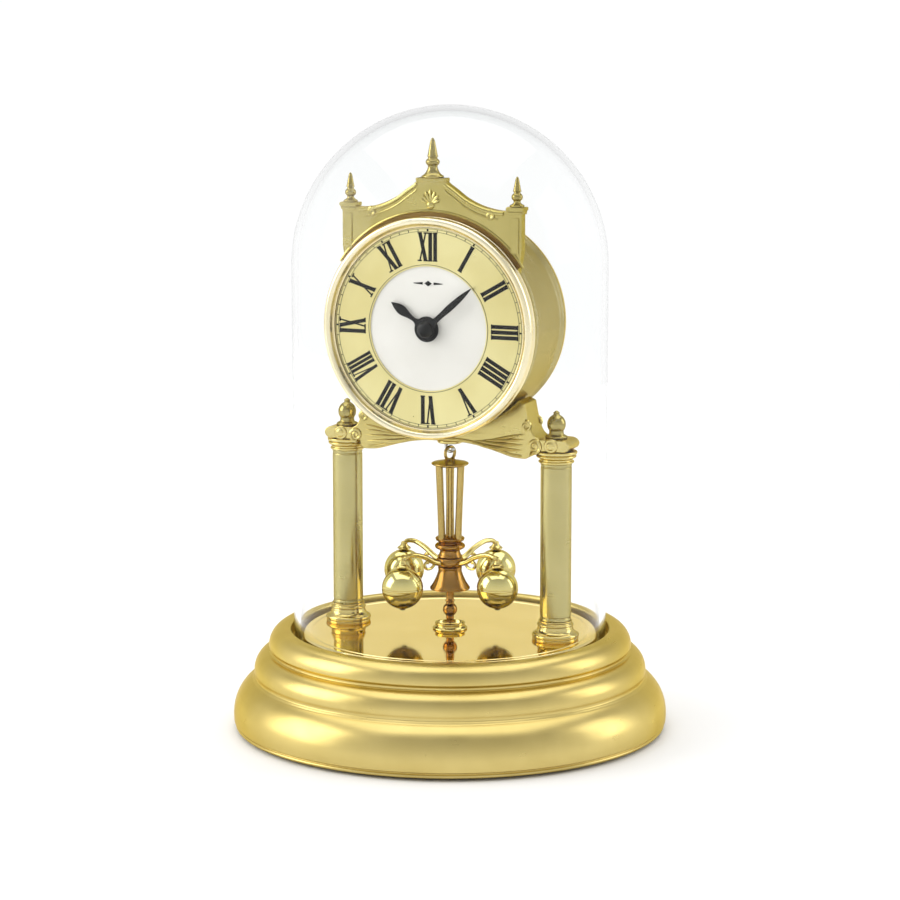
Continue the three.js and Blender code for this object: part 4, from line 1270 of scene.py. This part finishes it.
# Everything below is in metres.
FLOOR_HALF = 0.9
CAMERA_AZIMUTH = 22
CAMERA_DISTANCE, CAMERA_HEIGHT, CAMERA_AIM = 1.052, 0.279, 0.1029
LAMP_AIM = 0.1


def floor():
    """A white table; beyond its edge the world is the same white."""
    bm = bmesh.new()
    corners = ((-1, -1), (1, -1), (1, 1), (-1, 1))
    bm.faces.new([bm.verts.new((x * FLOOR_HALF, y * FLOOR_HALF, 0)) for x, y in corners])
    plane = linked("floor", mesh_from(bm))
    r = Recipe("floor_paint", specular_ior_level=0.2)
    r.tint(r.noise(3, 2), (0.91, 0.91, 0.91), (0.93, 0.93, 0.93))
    r.gloss(40, 2, 0.55, 0.65)
    plane.data.materials.append(r.material)


def sky():
    """A pale studio: white up to the horizon and greyer overhead."""
    world = bpy.data.worlds.new("studio")
    bpy.context.scene.world = world
    world.use_nodes = True
    tree = world.node_tree
    background = tree.nodes["Background"]
    coords = tree.nodes.new("ShaderNodeTexCoord")
    split = tree.nodes.new("ShaderNodeSeparateXYZ")
    ramp = tree.nodes.new("ShaderNodeValToRGB")
    tree.links.new(coords.outputs["Generated"], split.inputs[0])
    tree.links.new(split.outputs["Z"], ramp.inputs["Fac"])
    tree.links.new(ramp.outputs["Color"], background.inputs["Color"])
    horizon, zenith = (1.0, 1.0, 1.0), (0.34, 0.34, 0.34)
    fill_ramp(ramp, [(0, horizon), (1, zenith)])
    background.inputs["Strength"].default_value = 1.02


def aimed(name, data, azimuth, distance, height, target):
    """A lamp or camera at an azimuth in degrees from the front towards +X, aimed at a height on the axis."""
    made = linked(name, data)
    made.location = (*polar(distance, azimuth - 90), height)
    made.rotation_euler = (Vector((0, 0, target)) - made.location).to_track_quat("-Z", "Y").to_euler()
    return made


def lamp(name, azimuth, distance, height, size, radiance):
    """A soft box; radiance is how bright its face is."""
    data = bpy.data.lights.new(name, "AREA")
    data.shape = "RECTANGLE"
    data.size, data.size_y = size
    data.energy = radiance * math.pi * size[0] * size[1]
    aimed(name, data, azimuth, distance, height, LAMP_AIM)


def camera():
    data = bpy.data.cameras.new("camera")
    data.sensor_width = 36
    data.lens = 116.6
    data.clip_start, data.clip_end = 0.05, 100
    made = aimed("camera", data, CAMERA_AZIMUTH, CAMERA_DISTANCE, CAMERA_HEIGHT, CAMERA_AIM)
    bpy.context.scene.camera = made


floor()
sky()
lamp("left_box", CAMERA_AZIMUTH - 88, 1.5, 0.75, (1.1, 1.2), 3.0)
lamp("right_box", CAMERA_AZIMUTH + 95, 1.6, 0.7, (0.7, 1.1), 2.2)
lamp("top_box", CAMERA_AZIMUTH + 180, 0.3, 1.7, (2.2, 2.2), 1.6)
camera()
bpy.context.scene.view_settings.view_transform = "Standard"
